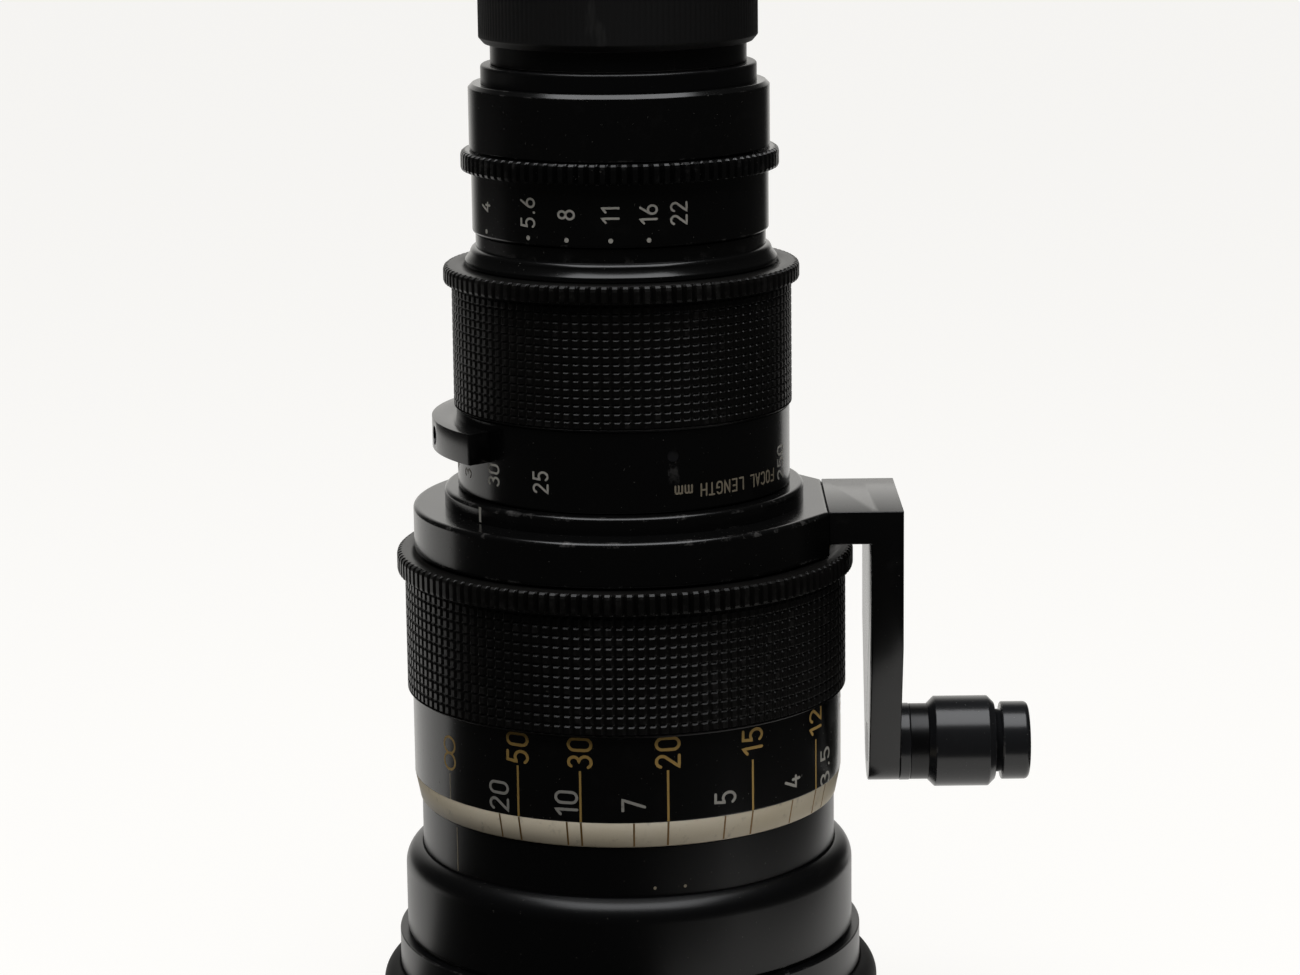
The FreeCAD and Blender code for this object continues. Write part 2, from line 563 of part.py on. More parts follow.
def support():
    """The support collar, the index collar, and the arm with its screws."""
    half = ARM_WIDTH / 2
    corner = atan2(half, PAD_X)
    reach = acos(SUPPORT_COLLAR_R / sqrt(half * half + PAD_X * PAD_X))
    tangent_x = SUPPORT_COLLAR_R * cos(corner + reach)
    tangent_y = SUPPORT_COLLAR_R * sin(corner + reach)
    sides = [(0, 0), (tangent_x, -tangent_y), (PAD_X, -half), (PAD_X, half), (tangent_x, tangent_y)]
    points = [FreeCAD.Vector(x, y, SUPPORT_FOOT) for x, y in sides]
    pad = Part.Face(Part.makePolygon(points + [points[0]])).extrude(UP * SUPPORT_COLLAR_HEIGHT)
    foot = FreeCAD.Vector(0, 0, SUPPORT_FOOT)
    disc = Part.makeCylinder(SUPPORT_COLLAR_R, SUPPORT_COLLAR_HEIGHT, foot)
    collar = disc.fuse(pad).removeSplitter()
    flat_corner = FreeCAD.Vector(PAD_X, -half, SUPPORT_FOOT)
    collar = collar.cut(Part.makeBox(ARM_REACH, ARM_WIDTH, SUPPORT_COLLAR_HEIGHT, flat_corner))
    spigot_top = SUPPORT_FOOT + COLLAR_SPIGOT
    collar = collar.cut(Part.makeCylinder(COLLAR_SPIGOT_R + FIT, COLLAR_SPIGOT, foot))
    collar = collar.cut(Part.makeCylinder(INDEX_SPIGOT_R + FIT, SUPPORT_COLLAR_HEIGHT, foot))

    index = turned([
        (CAM_BEARING_R, spigot_top), (INDEX_SPIGOT_R, spigot_top), (INDEX_SPIGOT_R, SUPPORT_TOP),
        (INDEX_COLLAR_R, SUPPORT_TOP), (INDEX_COLLAR_R, INDEX_TOP - EDGE),
        (INDEX_COLLAR_R - EDGE, INDEX_TOP), (CAM_BEARING_R, INDEX_TOP),
    ])

    leg_foot = SUPPORT_TOP - ARM_LEG_THICK
    leg = Part.makeBox(ARM_OUT - PAD_X, ARM_WIDTH, ARM_LEG_THICK, FreeCAD.Vector(PAD_X, -half, leg_foot))
    inner = ARM_OUT - ARM_THICK
    taper = SUPPORT_TOP - ARM_STRAIGHT
    run = taper - STUD_Z
    touch = atan2(half, run) + acos(ARM_END_R / sqrt(half * half + run * run))
    touch_y = ARM_END_R * sin(touch)
    touch_z = ARM_END_R * cos(touch)
    right = FreeCAD.Vector(inner, touch_y, STUD_Z + touch_z)
    left = FreeCAD.Vector(inner, -touch_y, STUD_Z + touch_z)
    bottom = FreeCAD.Vector(inner, 0, STUD_Z - ARM_END_R)
    corners = [(-half, taper), (-half, SUPPORT_TOP), (half, SUPPORT_TOP), (half, taper)]
    path = [left] + [FreeCAD.Vector(inner, y, z) for y, z in corners] + [right]
    edges = [Part.LineSegment(start, end) for start, end in zip(path, path[1:])]
    edges.append(Part.Arc(right, bottom, left))
    plate = Part.Face(Part.Wire([edge.toShape() for edge in edges]))
    plate = plate.extrude(FreeCAD.Vector(ARM_THICK, 0, 0))
    arm = leg.fuse(plate).removeSplitter()
    arm = arm.cut(axle(STUD_HOLE_R, inner - 1.0, ARM_OUT + 1.0))

    screws = []
    holes = []
    out = FreeCAD.Vector(1, 0, 0)
    head_x = ARM_OUT - ARM_SCREW_SUNK - ARM_SCREW_HEAD
    tip_x = INDEX_SPIGOT_R + 1.0
    for y in (-ARM_SCREW_SPREAD, ARM_SCREW_SPREAD):
        tip = FreeCAD.Vector(tip_x, y, SUPPORT_TOP - ARM_SCREW_DROP)
        head = FreeCAD.Vector(head_x, y, SUPPORT_TOP - ARM_SCREW_DROP)
        shank = Part.makeCylinder(ARM_SCREW_R, head_x + STUD_LAP - tip_x, tip, out)
        cheese = Part.makeCylinder(ARM_SCREW_HEAD_R, ARM_SCREW_HEAD, head, out)
        screws.append(shank.fuse(cheese).removeSplitter())
        holes.append(screws[-1])
        holes.append(Part.makeCylinder(ARM_SCREW_HEAD_R, ARM_SCREW_HEAD + 1.0, head, out))
    cut_out = joined(holes)
    return {
        "support_collar": collar.cut(cut_out),
        "index_collar": index,
        "support_arm": arm.cut(cut_out),
        "arm_screws": joined(screws),
    }


def stud():
    """The post in the arm's end, its washer, the sleeve that turns on it and the end cap."""
    inner = ARM_OUT - ARM_THICK
    washer_end = ARM_OUT + STUD_WASHER
    neck_end = washer_end + STUD_NECK
    sleeve_start = neck_end + STUD_GAP
    sleeve_end = sleeve_start + SLEEVE_LENGTH
    groove_start = sleeve_end + STUD_GAP
    cap_start = groove_start + STUD_GROOVE
    cap_end = cap_start + STUD_CAP_LENGTH
    washer = axle(STUD_WASHER_R, ARM_OUT, washer_end)
    washer = washer.cut(axle(STUD_HOLE_R + FIT, ARM_OUT - 1, washer_end + 1))
    shaft = axle(STUD_HOLE_R, inner, washer_end + STUD_LAP)
    shaft = shaft.fuse(axle(STUD_NECK_R, washer_end, neck_end))
    shaft = shaft.fuse(axle(STUD_JOURNAL_R, neck_end - STUD_LAP, groove_start)).removeSplitter()
    sleeve = axle(SLEEVE_R, sleeve_start, sleeve_end)
    rims = [edge for edge in sleeve.Edges if edge.Curve.TypeId == "Part::GeomCircle"]
    sleeve = sleeve.makeChamfer(SLEEVE_CHAMFER, rims)
    sleeve = sleeve.cut(axle(STUD_JOURNAL_R + RUN, sleeve_start - 1, sleeve_end + 1))
    cap = axle(STUD_CAP_R, cap_start, cap_end)
    circles = [edge for edge in cap.Edges if edge.Curve.TypeId == "Part::GeomCircle"]
    outer_rim = [edge for edge in circles if edge.Curve.Center.x > cap_start + STUD_LAP]
    cap = cap.makeFillet(STUD_CAP_ROUND, outer_rim)
    cap = cap.fuse(axle(STUD_GROOVE_R, groove_start, cap_start + STUD_LAP)).removeSplitter()
    return {"stud_washer": washer, "stud_post": shaft, "stud_sleeve": sleeve, "stud_end_cap": cap}


def cam():
    """The cam barrel: two sets of three spiral slots and a bearing rim."""
    rim_foot = SUPPORT_TOP + 0.5
    rim_top = INDEX_TOP - 0.5
    rim_r = CAM_BEARING_R - RUN
    body = turned([
        (CAM_IN_R, CAM_FOOT), (CAM_OUT_R, CAM_FOOT), (CAM_OUT_R, rim_foot), (rim_r, rim_foot),
        (rim_r, rim_top), (CAM_OUT_R, rim_top), (CAM_OUT_R, CAM_TOP), (CAM_IN_R, CAM_TOP),
    ])
    cutters = []
    for bearing in VARIATOR_BEARINGS:
        cutters += spiral_slot(VARIATOR_LEAD, ZOOM_SET, ZOOM_TURN, VARIATOR_SET, bearing, True)
    below = ZOOM_TURN - ZOOM_SET
    for bearing in COMPENSATOR_BEARINGS:
        cutters += spiral_slot(COMPENSATOR_LEAD, below, ZOOM_TURN, COMPENSATOR_SET, bearing, False)
    for cutter in cutters:
        body = body.cut(cutter)
    return body


def zoom_rings():
    """The zoom ring and scale ring, their carrier on the cam barrel, the lug and the screws."""
    lap = ZOOM_GEAR_FOOT + GEAR_LAP
    ring = turned([
        (ZOOM_BORE_R, ZOOM_RING_FOOT), (ZOOM_KNURL_R - EDGE, ZOOM_RING_FOOT),
        (ZOOM_KNURL_R, ZOOM_RING_FOOT + EDGE), (ZOOM_KNURL_R, lap), (ZOOM_BORE_R, lap),
    ])
    ring = ring.fuse(gear(ZOOM_GEAR_R, ZOOM_BORE_R, ZOOM_TEETH, ZOOM_GEAR_FOOT, ZOOM_GEAR_HEIGHT))
    scale = tube(ZOOM_SCALE_R, ZOOM_BORE_R, ZOOM_FOOT, ZOOM_RING_FOOT)
    carrier = tube(ZOOM_BORE_R - FIT, CAM_OUT_R + FIT, ZOOM_FOOT + 4.0, ZOOM_RING_FOOT + 6.0)
    level = LUG_FOOT + LUG_HEIGHT / 2
    root = CAM_OUT_R + 1.0
    flush = ZOOM_SCALE_R - SET_SCREW_SUNK
    beyond = ZOOM_SCALE_R + 1.0
    set_screws = joined([spoke(SET_SCREW_R, root, flush, level, b) for b in SET_SCREW_BEARINGS])
    set_holes = joined([spoke(SET_SCREW_R, root, beyond, level, b) for b in SET_SCREW_BEARINGS])
    lug = sector(LUG_R, ZOOM_SCALE_R, LUG_FOOT, LUG_FOOT + LUG_HEIGHT, LUG_CENTRE, LUG_SPAN)
    lug = lug.cut(spoke(LEVER_THREAD_R, LUG_R - LEVER_THREAD_DEPTH, LUG_R + 5, level, LUG_CENTRE))
    lug_screws = []
    lug_holes = []
    tip = ZOOM_BORE_R + 0.5
    head_top = LUG_R - LUG_SCREW_SUNK
    head_foot = head_top - LUG_SCREW_HEAD
    for offset in (-LUG_SCREW_OFFSET, LUG_SCREW_OFFSET):
        bearing = LUG_CENTRE + offset
        shank = spoke(SET_SCREW_R, tip, head_foot + 0.5, level, bearing)
        head = spoke(LUG_SCREW_HEAD_R, head_foot, head_top, level, bearing)
        lug_screws.append(shank.fuse(head).removeSplitter())
        lug_holes.append(spoke(SET_SCREW_R, tip, LUG_R, level, bearing))
        lug_holes.append(spoke(LUG_SCREW_HEAD_R, head_foot, LUG_R + 5, level, bearing))
    return {
        "zoom_ring": ring,
        "zoom_scale_ring": scale.cut(set_holes).cut(joined(lug_holes)),
        "zoom_carrier": carrier.cut(set_holes),
        "zoom_set_screws": set_screws,
        "zoom_lug": lug.cut(joined(lug_holes)),
        "zoom_lug_screws": joined(lug_screws),
        "cam_barrel": cam(),
    }


def sliding_cell(name, level, half, bearings, sags):
    """A zoom cell at its rest level: its mount ring, its glass and its three follower pins."""
    outer = GUIDE_R - RUN
    seat = ZOOM_GLASS_R + FIT
    ledge = ZOOM_GLASS_R - GLASS_LEDGE
    cell = turned([
        (ledge, level - LEDGE_THICK), (ledge, level + LEDGE_THICK), (seat, level + LEDGE_THICK),
        (seat, level + half), (outer, level + half), (outer, level - half), (seat, level - half),
        (seat, level - LEDGE_THICK),
    ])
    pins = [spoke(FOLLOWER_R, ZOOM_GLASS_R + FOLLOWER_GRIP, FOLLOWER_END_R, level, b) for b in bearings]
    far = LEDGE_THICK + ZOOM_GLASS_THICK
    front = lens(ZOOM_GLASS_R, level - far, level - LEDGE_THICK, -sags[0], -sags[1])
    rear = lens(ZOOM_GLASS_R, level + LEDGE_THICK, level + far, -sags[1], -sags[0])
    return {
        name + "_cell": cell.cut(joined(pins)),
        name + "_glass": joined([front, rear]),
        name + "_followers": joined(pins),
    }


def relay():
    """The fixed rear barrel with its lens cells, and the rear ring on it."""
    spigot_r = ZOOM_BORE_R - RUN
    spigot_foot = RELAY_FOOT - RELAY_SPIGOT
    barrel = turned([
        (GUIDE_OUT_R + FIT, spigot_foot), (spigot_r, spigot_foot), (spigot_r, RELAY_FOOT),
        (FLARE_R, RELAY_FOOT), (FLARE_R, RELAY_FOOT + FLARE_FOOT), (FLARE_NECK_R, GROOVE_FOOT),
        (GROOVE_R, GROOVE_FOOT), (GROOVE_R, IRIS_SEAT), (RELAY_R, IRIS_SEAT), (RELAY_R, REAR_RING_TOP),
        (RELAY_BORE_R, REAR_RING_TOP), (RELAY_BORE_R, GUIDE_TOP), (GUIDE_OUT_R + FIT, GUIDE_TOP),
    ])
    clear = IRIS_PIN_R + SLOT_PLAY
    slot_centre = IRIS_PIN_BEARING + IRIS_SET - IRIS_TURN / 2
    outer = RELAY_R + 1.0
    inner = RELAY_BORE_R - 1.0
    barrel = barrel.cut(sector(outer, inner, IRIS_LEVEL - clear, IRIS_LEVEL + clear, slot_centre, IRIS_TURN))
    for end in (-IRIS_TURN / 2, IRIS_TURN / 2):
        barrel = barrel.cut(spoke(clear, inner, outer, IRIS_LEVEL, slot_centre + end))
    rear_ring = turned([
        (RELAY_R + FIT, REAR_RING_FOOT), (REAR_RING_R, REAR_RING_FOOT), (REAR_RING_R, REAR_RING_TOP - 1.0),
        (REAR_RING_R - 1.0, REAR_RING_TOP), (RELAY_R + FIT, REAR_RING_TOP),
    ])
    front_foot = spigot_foot + 1.0
    front_seat = front_foot + LEDGE_THICK
    ledge = RELAY_GLASS_R - GLASS_LEDGE
    bore = RELAY_GLASS_R + FIT
    front_cell = turned([
        (ledge, front_foot), (GUIDE_R - FIT, front_foot), (GUIDE_R - FIT, GUIDE_TOP),
        (bore, GUIDE_TOP), (bore, front_seat), (ledge, front_seat),
    ])
    front_glass = lens(RELAY_GLASS_R, front_seat, front_seat + RELAY_FRONT_THICK, 1.0, 1.5)
    rear_foot = IRIS_LEVEL + DRIVE_HALF + 1.0
    rear_seat = rear_foot + LEDGE_THICK
    flange_r = RELAY_BORE_R - FIT
    wall_r = RELAY_GLASS_R + RELAY_CELL_WALL
    rear_cell = turned([
        (ledge, rear_foot), (flange_r, rear_foot), (flange_r, rear_foot + RELAY_FLANGE),
        (wall_r, rear_foot + RELAY_FLANGE), (wall_r, REAR_RING_TOP), (bore, REAR_RING_TOP),
        (bore, rear_seat), (ledge, rear_seat),
    ])
    spacer_foot = rear_seat + RELAY_INNER_THICK
    spacer_top = spacer_foot + RELAY_AIR
    inner_glass = lens(RELAY_GLASS_R, rear_seat, spacer_foot, -1.0, 2.0)
    spacer = tube(RELAY_GLASS_R, RELAY_GLASS_R - 1.5, spacer_foot, spacer_top)
    outer_glass = lens(RELAY_GLASS_R, spacer_top, spacer_top + RELAY_OUTER_THICK, 1.5, 2.0)
    return {
        "relay_barrel": barrel.cut(mount_screws()),
        "rear_ring": rear_ring,
        "relay_front_cell": front_cell.cut(front_glass),
        "relay_front_glass": front_glass,
        "relay_rear_cell": rear_cell.cut(inner_glass),
        "relay_inner_glass": inner_glass,
        "relay_spacer": spacer.cut(joined([inner_glass, outer_glass])),
        "relay_outer_glass": outer_glass,
    }


def iris():
    """The iris ring and gear, the link pin, the drive ring, and the blades in their housing."""
    bore = RELAY_R + RUN
    ring = tube(IRIS_RING_R, bore, IRIS_FOOT, IRIS_GEAR_FOOT)
    teeth = gear(IRIS_GEAR_R, bore, IRIS_TEETH, IRIS_GEAR_FOOT, IRIS_GEAR_HEIGHT)
    drive_out = RELAY_BORE_R - RUN
    pin = spoke(IRIS_PIN_R, drive_out - 2.0, IRIS_RING_R - 0.8, IRIS_LEVEL, IRIS_PIN_BEARING)
    drive = tube(drive_out, drive_out - DRIVE_WALL, IRIS_LEVEL - DRIVE_HALF, IRIS_LEVEL + DRIVE_HALF)
    housing_top = IRIS_LEVEL - DRIVE_HALF - RING_GAP
    shelf = housing_top - BLADES * BLADE_STEP - 0.3
    housing = turned([
        (RELAY_GLASS_R - GLASS_LEDGE, GUIDE_TOP + 0.5), (RELAY_BORE_R - FIT, GUIDE_TOP + 0.5),
        (RELAY_BORE_R - FIT, housing_top), (RELAY_BORE_R - HOUSING_RIM, housing_top),
        (RELAY_BORE_R - HOUSING_RIM, shelf), (RELAY_GLASS_R - GLASS_LEDGE, shelf),
    ])
    blades = []
    blade_r = RELAY_BORE_R - HOUSING_RIM - 1.0
    for number in range(BLADES):
        foot = shelf + BLADE_STEP - BLADE_THICK + number * BLADE_STEP
        bearing = number * 360 / BLADES
        blades.append(sector(blade_r, BLADE_HOLE_R, foot, foot + BLADE_THICK, bearing, BLADE_SPAN))
    return {
        "iris_ring": ring.cut(pin),
        "iris_gear": teeth,
        "iris_link_pin": pin,
        "iris_drive_ring": drive.cut(pin),
        "iris_housing": housing,
        "iris_blades": joined(blades),
    }


def mount_screws():
    """The four screws that hold the mount flange on the relay barrel."""
    foot = REAR_RING_TOP - MOUNT_SCREW_GRIP
    top = NECK_FOOT - MOUNT_SCREW_SUNK
    return joined([post(MOUNT_SCREW_RADIUS, MOUNT_SCREW_R, b, foot, top) for b in MOUNT_SCREW_BEARINGS])


def camera_end():
    """The mount flange with its screws, the bayonet mount and the rear cap."""
    flange_bore = RELAY_GLASS_R + 4.0
    flange = turned([
        (flange_bore, REAR_RING_TOP), (MOUNT_FLANGE_R, REAR_RING_TOP), (MOUNT_FLANGE_R, NECK_FOOT - EDGE),
        (MOUNT_FLANGE_R - EDGE, NECK_FOOT), (flange_bore, NECK_FOOT),
    ])
    foot = REAR_RING_TOP - 1.0
    beyond = NECK_FOOT + 1.0
    holes = joined([post(MOUNT_SCREW_RADIUS, MOUNT_SCREW_R, b, foot, beyond) for b in MOUNT_SCREW_BEARINGS])
    register_top = REGISTER_FOOT + MOUNT_REGISTER
    seat_top = NECK_FOOT + MOUNT_SEAT
    mount = turned([
        (MOUNT_BORE_R, NECK_FOOT), (MOUNT_SEAT_R, NECK_FOOT), (MOUNT_SEAT_R, seat_top), (NECK_R, seat_top),
        (NECK_R, REGISTER_FOOT), (MOUNT_REGISTER_R, REGISTER_FOOT), (MOUNT_REGISTER_R, register_top),
        (MOUNT_TUBE_R, register_top), (MOUNT_TUBE_R, MOUNT_TOP), (MOUNT_BORE_R, MOUNT_TOP),
    ])
    ear_foot = register_top + MOUNT_EAR_RISE
    ear_top = ear_foot + MOUNT_EAR
    ear_root = MOUNT_TUBE_R - 1.0
    for bearing in MOUNT_EAR_BEARINGS:
        mount = mount.fuse(sector(MOUNT_EAR_R, ear_root, ear_foot, ear_top, bearing, MOUNT_EAR_SPAN))
    cap_bore = MOUNT_REGISTER_R + CAP_PLAY
    roof = REAR_CAP_TOP - REAR_CAP_ROOF
    cap = turned([
        (cap_bore, REAR_CAP_FOOT), (REAR_CAP_R - 2.0, REAR_CAP_FOOT), (REAR_CAP_R, REAR_CAP_FOOT + 1.6),
        (REAR_CAP_R, REAR_CAP_TOP - 2.0), (REAR_CAP_R - 2.0, REAR_CAP_TOP), (0, REAR_CAP_TOP),
        (0, roof), (cap_bore, roof),
    ])
    return {
        "mount_flange": flange.cut(holes),
        "mount_screws": mount_screws(),
        "camera_mount": mount.removeSplitter(),
        "rear_cap": cap,
    }


def main():
    os.makedirs("parts", exist_ok=True)
    nodes = {}
    groups = [front_end, guide, focusing_cell, focus_rings, support]
    groups += [stud, zoom_rings, relay, iris, camera_end]
    for group in groups:
        nodes.update(group())
    nodes.update(sliding_cell("variator", VARIATOR_SET, VARIATOR_HALF, VARIATOR_BEARINGS, VARIATOR_SAGS))
    compensator = sliding_cell(
        "compensator", COMPENSATOR_SET, COMPENSATOR_HALF, COMPENSATOR_BEARINGS, COMPENSATOR_SAGS
    )
    nodes.update(compensator)
    for name, shape in nodes.items():
        shape.exportStep(os.path.join("parts", name + ".step"))
    print(len(nodes), "nodes, overall height", round(REAR_CAP_TOP, 2))


main()
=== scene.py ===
import json
import bpy
import bmesh
import numpy as np
from math import atan2, cos, pi, radians, sin, sqrt
from mathutils import Matrix, Vector


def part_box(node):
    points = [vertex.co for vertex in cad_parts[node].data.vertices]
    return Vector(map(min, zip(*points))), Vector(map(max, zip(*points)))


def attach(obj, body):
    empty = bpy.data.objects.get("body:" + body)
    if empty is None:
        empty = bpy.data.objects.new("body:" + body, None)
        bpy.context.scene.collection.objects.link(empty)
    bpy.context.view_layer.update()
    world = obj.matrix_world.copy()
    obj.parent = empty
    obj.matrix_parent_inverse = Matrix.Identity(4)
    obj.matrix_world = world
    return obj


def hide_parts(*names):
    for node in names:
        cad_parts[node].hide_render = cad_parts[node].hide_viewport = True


# A ten-to-one zoom lens for a film camera, standing on its front cap.  Metres; sizes below in millimetres
# are turned into metres where a mesh is made.  Bearings run from -Y, positive towards +X.

MM = 0.001
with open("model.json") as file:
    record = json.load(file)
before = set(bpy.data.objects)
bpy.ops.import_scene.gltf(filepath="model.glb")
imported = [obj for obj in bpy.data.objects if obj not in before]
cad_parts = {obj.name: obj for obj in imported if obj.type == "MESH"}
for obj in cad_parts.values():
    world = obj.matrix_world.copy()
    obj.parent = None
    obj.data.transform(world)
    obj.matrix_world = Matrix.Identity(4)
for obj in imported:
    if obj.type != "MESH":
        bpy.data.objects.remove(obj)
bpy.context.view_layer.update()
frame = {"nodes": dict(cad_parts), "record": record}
nodes = frame["nodes"]


def foot(node):
    """The lowest level of a CAD node, in millimetres."""
    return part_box(node)[0].z / MM


def top(node):
    """The highest level of a CAD node, in millimetres."""
    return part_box(node)[1].z / MM


def reach(node):
    """The outside radius of a round CAD node, in millimetres."""
    low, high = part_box(node)
    return (high.x - low.x) / 2 / MM


def middle(node):
    """The level half way up a CAD node, in millimetres."""
    low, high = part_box(node)
    return (low.z + high.z) / 2 / MM


# ---------------------------------------------------------------- meshes


def new_piece(name, points, faces, smooth=True, edge=None):
    """A mesh object from an (n, 3) array in millimetres and an (m, 4) or (m, 3) array of corners."""
    mesh = bpy.data.meshes.new(name)
    points = np.asarray(points, dtype=float) * MM
    mesh.from_pydata(points.tolist(), [], faces.tolist() if isinstance(faces, np.ndarray) else faces)
    mesh.polygons.foreach_set("use_smooth", np.broadcast_to(smooth, len(mesh.polygons)).copy())
    if edge is not None:
        layer = mesh.attributes.new("edge", "FLOAT", "POINT")
        layer.data.foreach_set("value", np.asarray(edge, dtype=np.float32))
    mesh.update()
    piece = bpy.data.objects.new(name, mesh)
    bpy.context.scene.collection.objects.link(piece)
    return piece


FLAT_MARK = 0.15  # the edge mark of a point just beyond a fillet
SIDE_SHARE = 0.45  # the most of a side that one fillet may take


def rounded(corners, steps=4, ease=0.12):
    """An outline of (radius, height, fillet) corners as dense points, (n, 2), with an edge mark for each.
    A fillet is an arc that touches both sides.  A point a little beyond each of its ends keeps flats flat."""
    corners = [(c[0], c[1], c[2] if len(c) > 2 else 0.0) for c in corners]
    points = []
    marks = []
    count = len(corners)
    for i, (r, z, fillet) in enumerate(corners):
        here = np.array((r, z))
        if fillet <= 0:
            points.append(here)
            marks.append(0.0)
            continue
        before = np.array(corners[i - 1][:2]) - here
        after = np.array(corners[(i + 1) % count][:2]) - here
        before_length = np.linalg.norm(before)
        after_length = np.linalg.norm(after)
        before = before / before_length
        after = after / after_length
        half = np.arccos(np.clip(before @ after, -1, 1)) / 2
        cut = min(fillet / np.tan(half), SIDE_SHARE * before_length, SIDE_SHARE * after_length)
        radius = cut * np.tan(half)
        middle = (before + after) / np.linalg.norm(before + after)
        centre = here + middle * radius / np.sin(half)
        start = here + before * cut
        end = here + after * cut
        if before_length > cut + 2.2 * ease:
            points.append(start + before * ease)
            marks.append(FLAT_MARK)
        share = np.linspace(0, 1, steps + 1)[:, None]
        turn = pi - 2 * half
        a = (start - centre) / radius
        b = (end - centre) / radius
        arc = (np.sin((1 - share) * turn) * a + np.sin(share * turn) * b) / np.sin(turn)
        points.extend(centre + arc * radius)
        marks.extend([1.0] * (steps + 1))
        if after_length > cut + 2.2 * ease:
            points.append(end + after * ease)
            marks.append(FLAT_MARK)
    return np.array(points), np.array(marks)


def anticlockwise(points, marks):
    """The outline and its marks, turned round if it runs clockwise."""
    x, y = points[:, 0], points[:, 1]
    area = np.sum(x * np.roll(y, -1) - np.roll(x, -1) * y)
    if area < 0:
        return points[::-1], marks[::-1]
    return points, marks


def ring_faces(rows, columns, closed):
    """Four-cornered faces of a grid that wraps round in its columns, and in its rows where it is closed."""
    i = np.arange(rows if closed else rows - 1)[:, None]
    j = np.arange(columns)[None, :]
    nexti = (i + 1) % rows
    nextj = (j + 1) % columns
    quads = np.stack([i * columns + j, i * columns + nextj, nexti * columns + nextj, nexti * columns + j], -1)
    return quads.reshape(-1, 4)


def about_axis(r, angle, z):
    """Points at radii, bearings in radians and heights that keep step: (r sin angle, -r cos angle, z)."""
    r, angle, z = np.broadcast_arrays(r, angle, z)
    return np.stack([r * np.sin(angle), -r * np.cos(angle), z], -1)


ON_AXIS = 1e-9  # a radius under this, in millimetres, is on the axis


def turned(name, corners, segments, steps=4):
    """A solid of revolution about Z: the rounded outline at every bearing.  An outline that starts and ends
    on the axis is closed there by a fan of triangles."""
    points, marks = anticlockwise(*rounded(corners, steps))
    on_axis = points[:, 0] < ON_AXIS
    angle = np.linspace(0, 2 * pi, segments, endpoint=False)
    if not on_axis.any():
        grid = about_axis(points[:, 0, None], angle, points[:, 1, None]).reshape(-1, 3)
        faces = ring_faces(len(points), segments, True)
        return new_piece(name, grid, faces, True, np.repeat(marks, segments))
    start = int(np.flatnonzero(on_axis & ~np.roll(on_axis, -1))[0])
    points = np.roll(points, -start, axis=0)
    marks = np.roll(marks, -start)
    body = points[:, 0] >= ON_AXIS
    inner = points[body]
    poles = points[~body]
    grid = about_axis(inner[:, 0, None], angle, inner[:, 1, None]).reshape(-1, 3)
    rows = len(inner)
    quads = ring_faces(rows, segments, False).tolist()
    first, last = len(grid), len(grid) + 1
    grid = np.vstack([grid, [0, 0, poles[0, 1]], [0, 0, poles[-1, 1]]])
    j = np.arange(segments)
    k = (j + 1) % segments
    low = np.stack([np.full(segments, first), k, j], -1).tolist()
    base = (rows - 1) * segments
    high = np.stack([np.full(segments, last), base + j, base + k], -1).tolist()
    edge = np.concatenate([np.repeat(marks[body], segments), [0, 0]])
    return new_piece(name, grid, quads + low + high, True, edge)


def crown(outer, inner, high, radius, steps=12):
    """Outline points of a rounded top edge: an arc of the given radius from the wall in to the inner radius,
    its end at the given level."""
    last = np.arccos(max(0.0, 1 - (outer - inner) / radius))
    t = np.linspace(0, last, steps + 1)
    return list(zip(outer - radius * (1 - np.cos(t)), high - radius * (np.sin(last) - np.sin(t))))


def laid_along_x(piece, level):
    """A turned piece laid with its axis along +X at a level above the floor, its foot at x = 0."""
    mesh = piece.data
    mesh.transform(Matrix.Translation((0, 0, level * MM)) @ Matrix.Rotation(pi / 2, 4, "Y"))
    return piece


# One tooth of a gear, one rib of a cap and one row of knurled pads: the places of its points as shares of
# the pitch, and the wave there, from nought to one
TOOTH_SHARE = np.array([0.0, 0.14, 0.27, 0.5, 0.73, 0.86])
TOOTH_WAVE = np.array([0.0, 0.35, 1.0, 1.0, 1.0, 0.35])
RIB_SHARE = np.array([0.0, 0.2, 0.5, 0.8])
RIB_WAVE = np.array([1.0, 0.2, 0.0, 0.2])
PAD_SHARE = np.array([0.0, 0.2, 0.8])
PAD_WAVE = np.array([0.0, 1.0, 1.0])


def repeated(count, share, wave):
    """The bearings in radians of a wave repeated round a ring, and the wave at each of them."""
    angle = ((np.arange(count)[:, None] + share) * 2 * pi / count).ravel()
    return angle, np.tile(wave, count)


def tooth_marks(mark, column):
    """Edge marks of one row of teeth: least in the gaps, most on the crests."""
    return mark * (0.15 + 0.3 * column)


def tooth_tops(tip, level, depth, shoulder, run_in):
    """The upper rows of a toothed flange, as (radius, height, cut, mark): full teeth, a shoulder that is
    eased back, and a smooth top face."""
    return [
        (tip, level - 1.2, depth, 1.0), (tip - 0.2, level - 0.5, shoulder, 1.0),
        (tip - 0.8, level - 0.05, 0.5, 0.8), (tip - run_in, level, 0.0, 0.3),
    ]


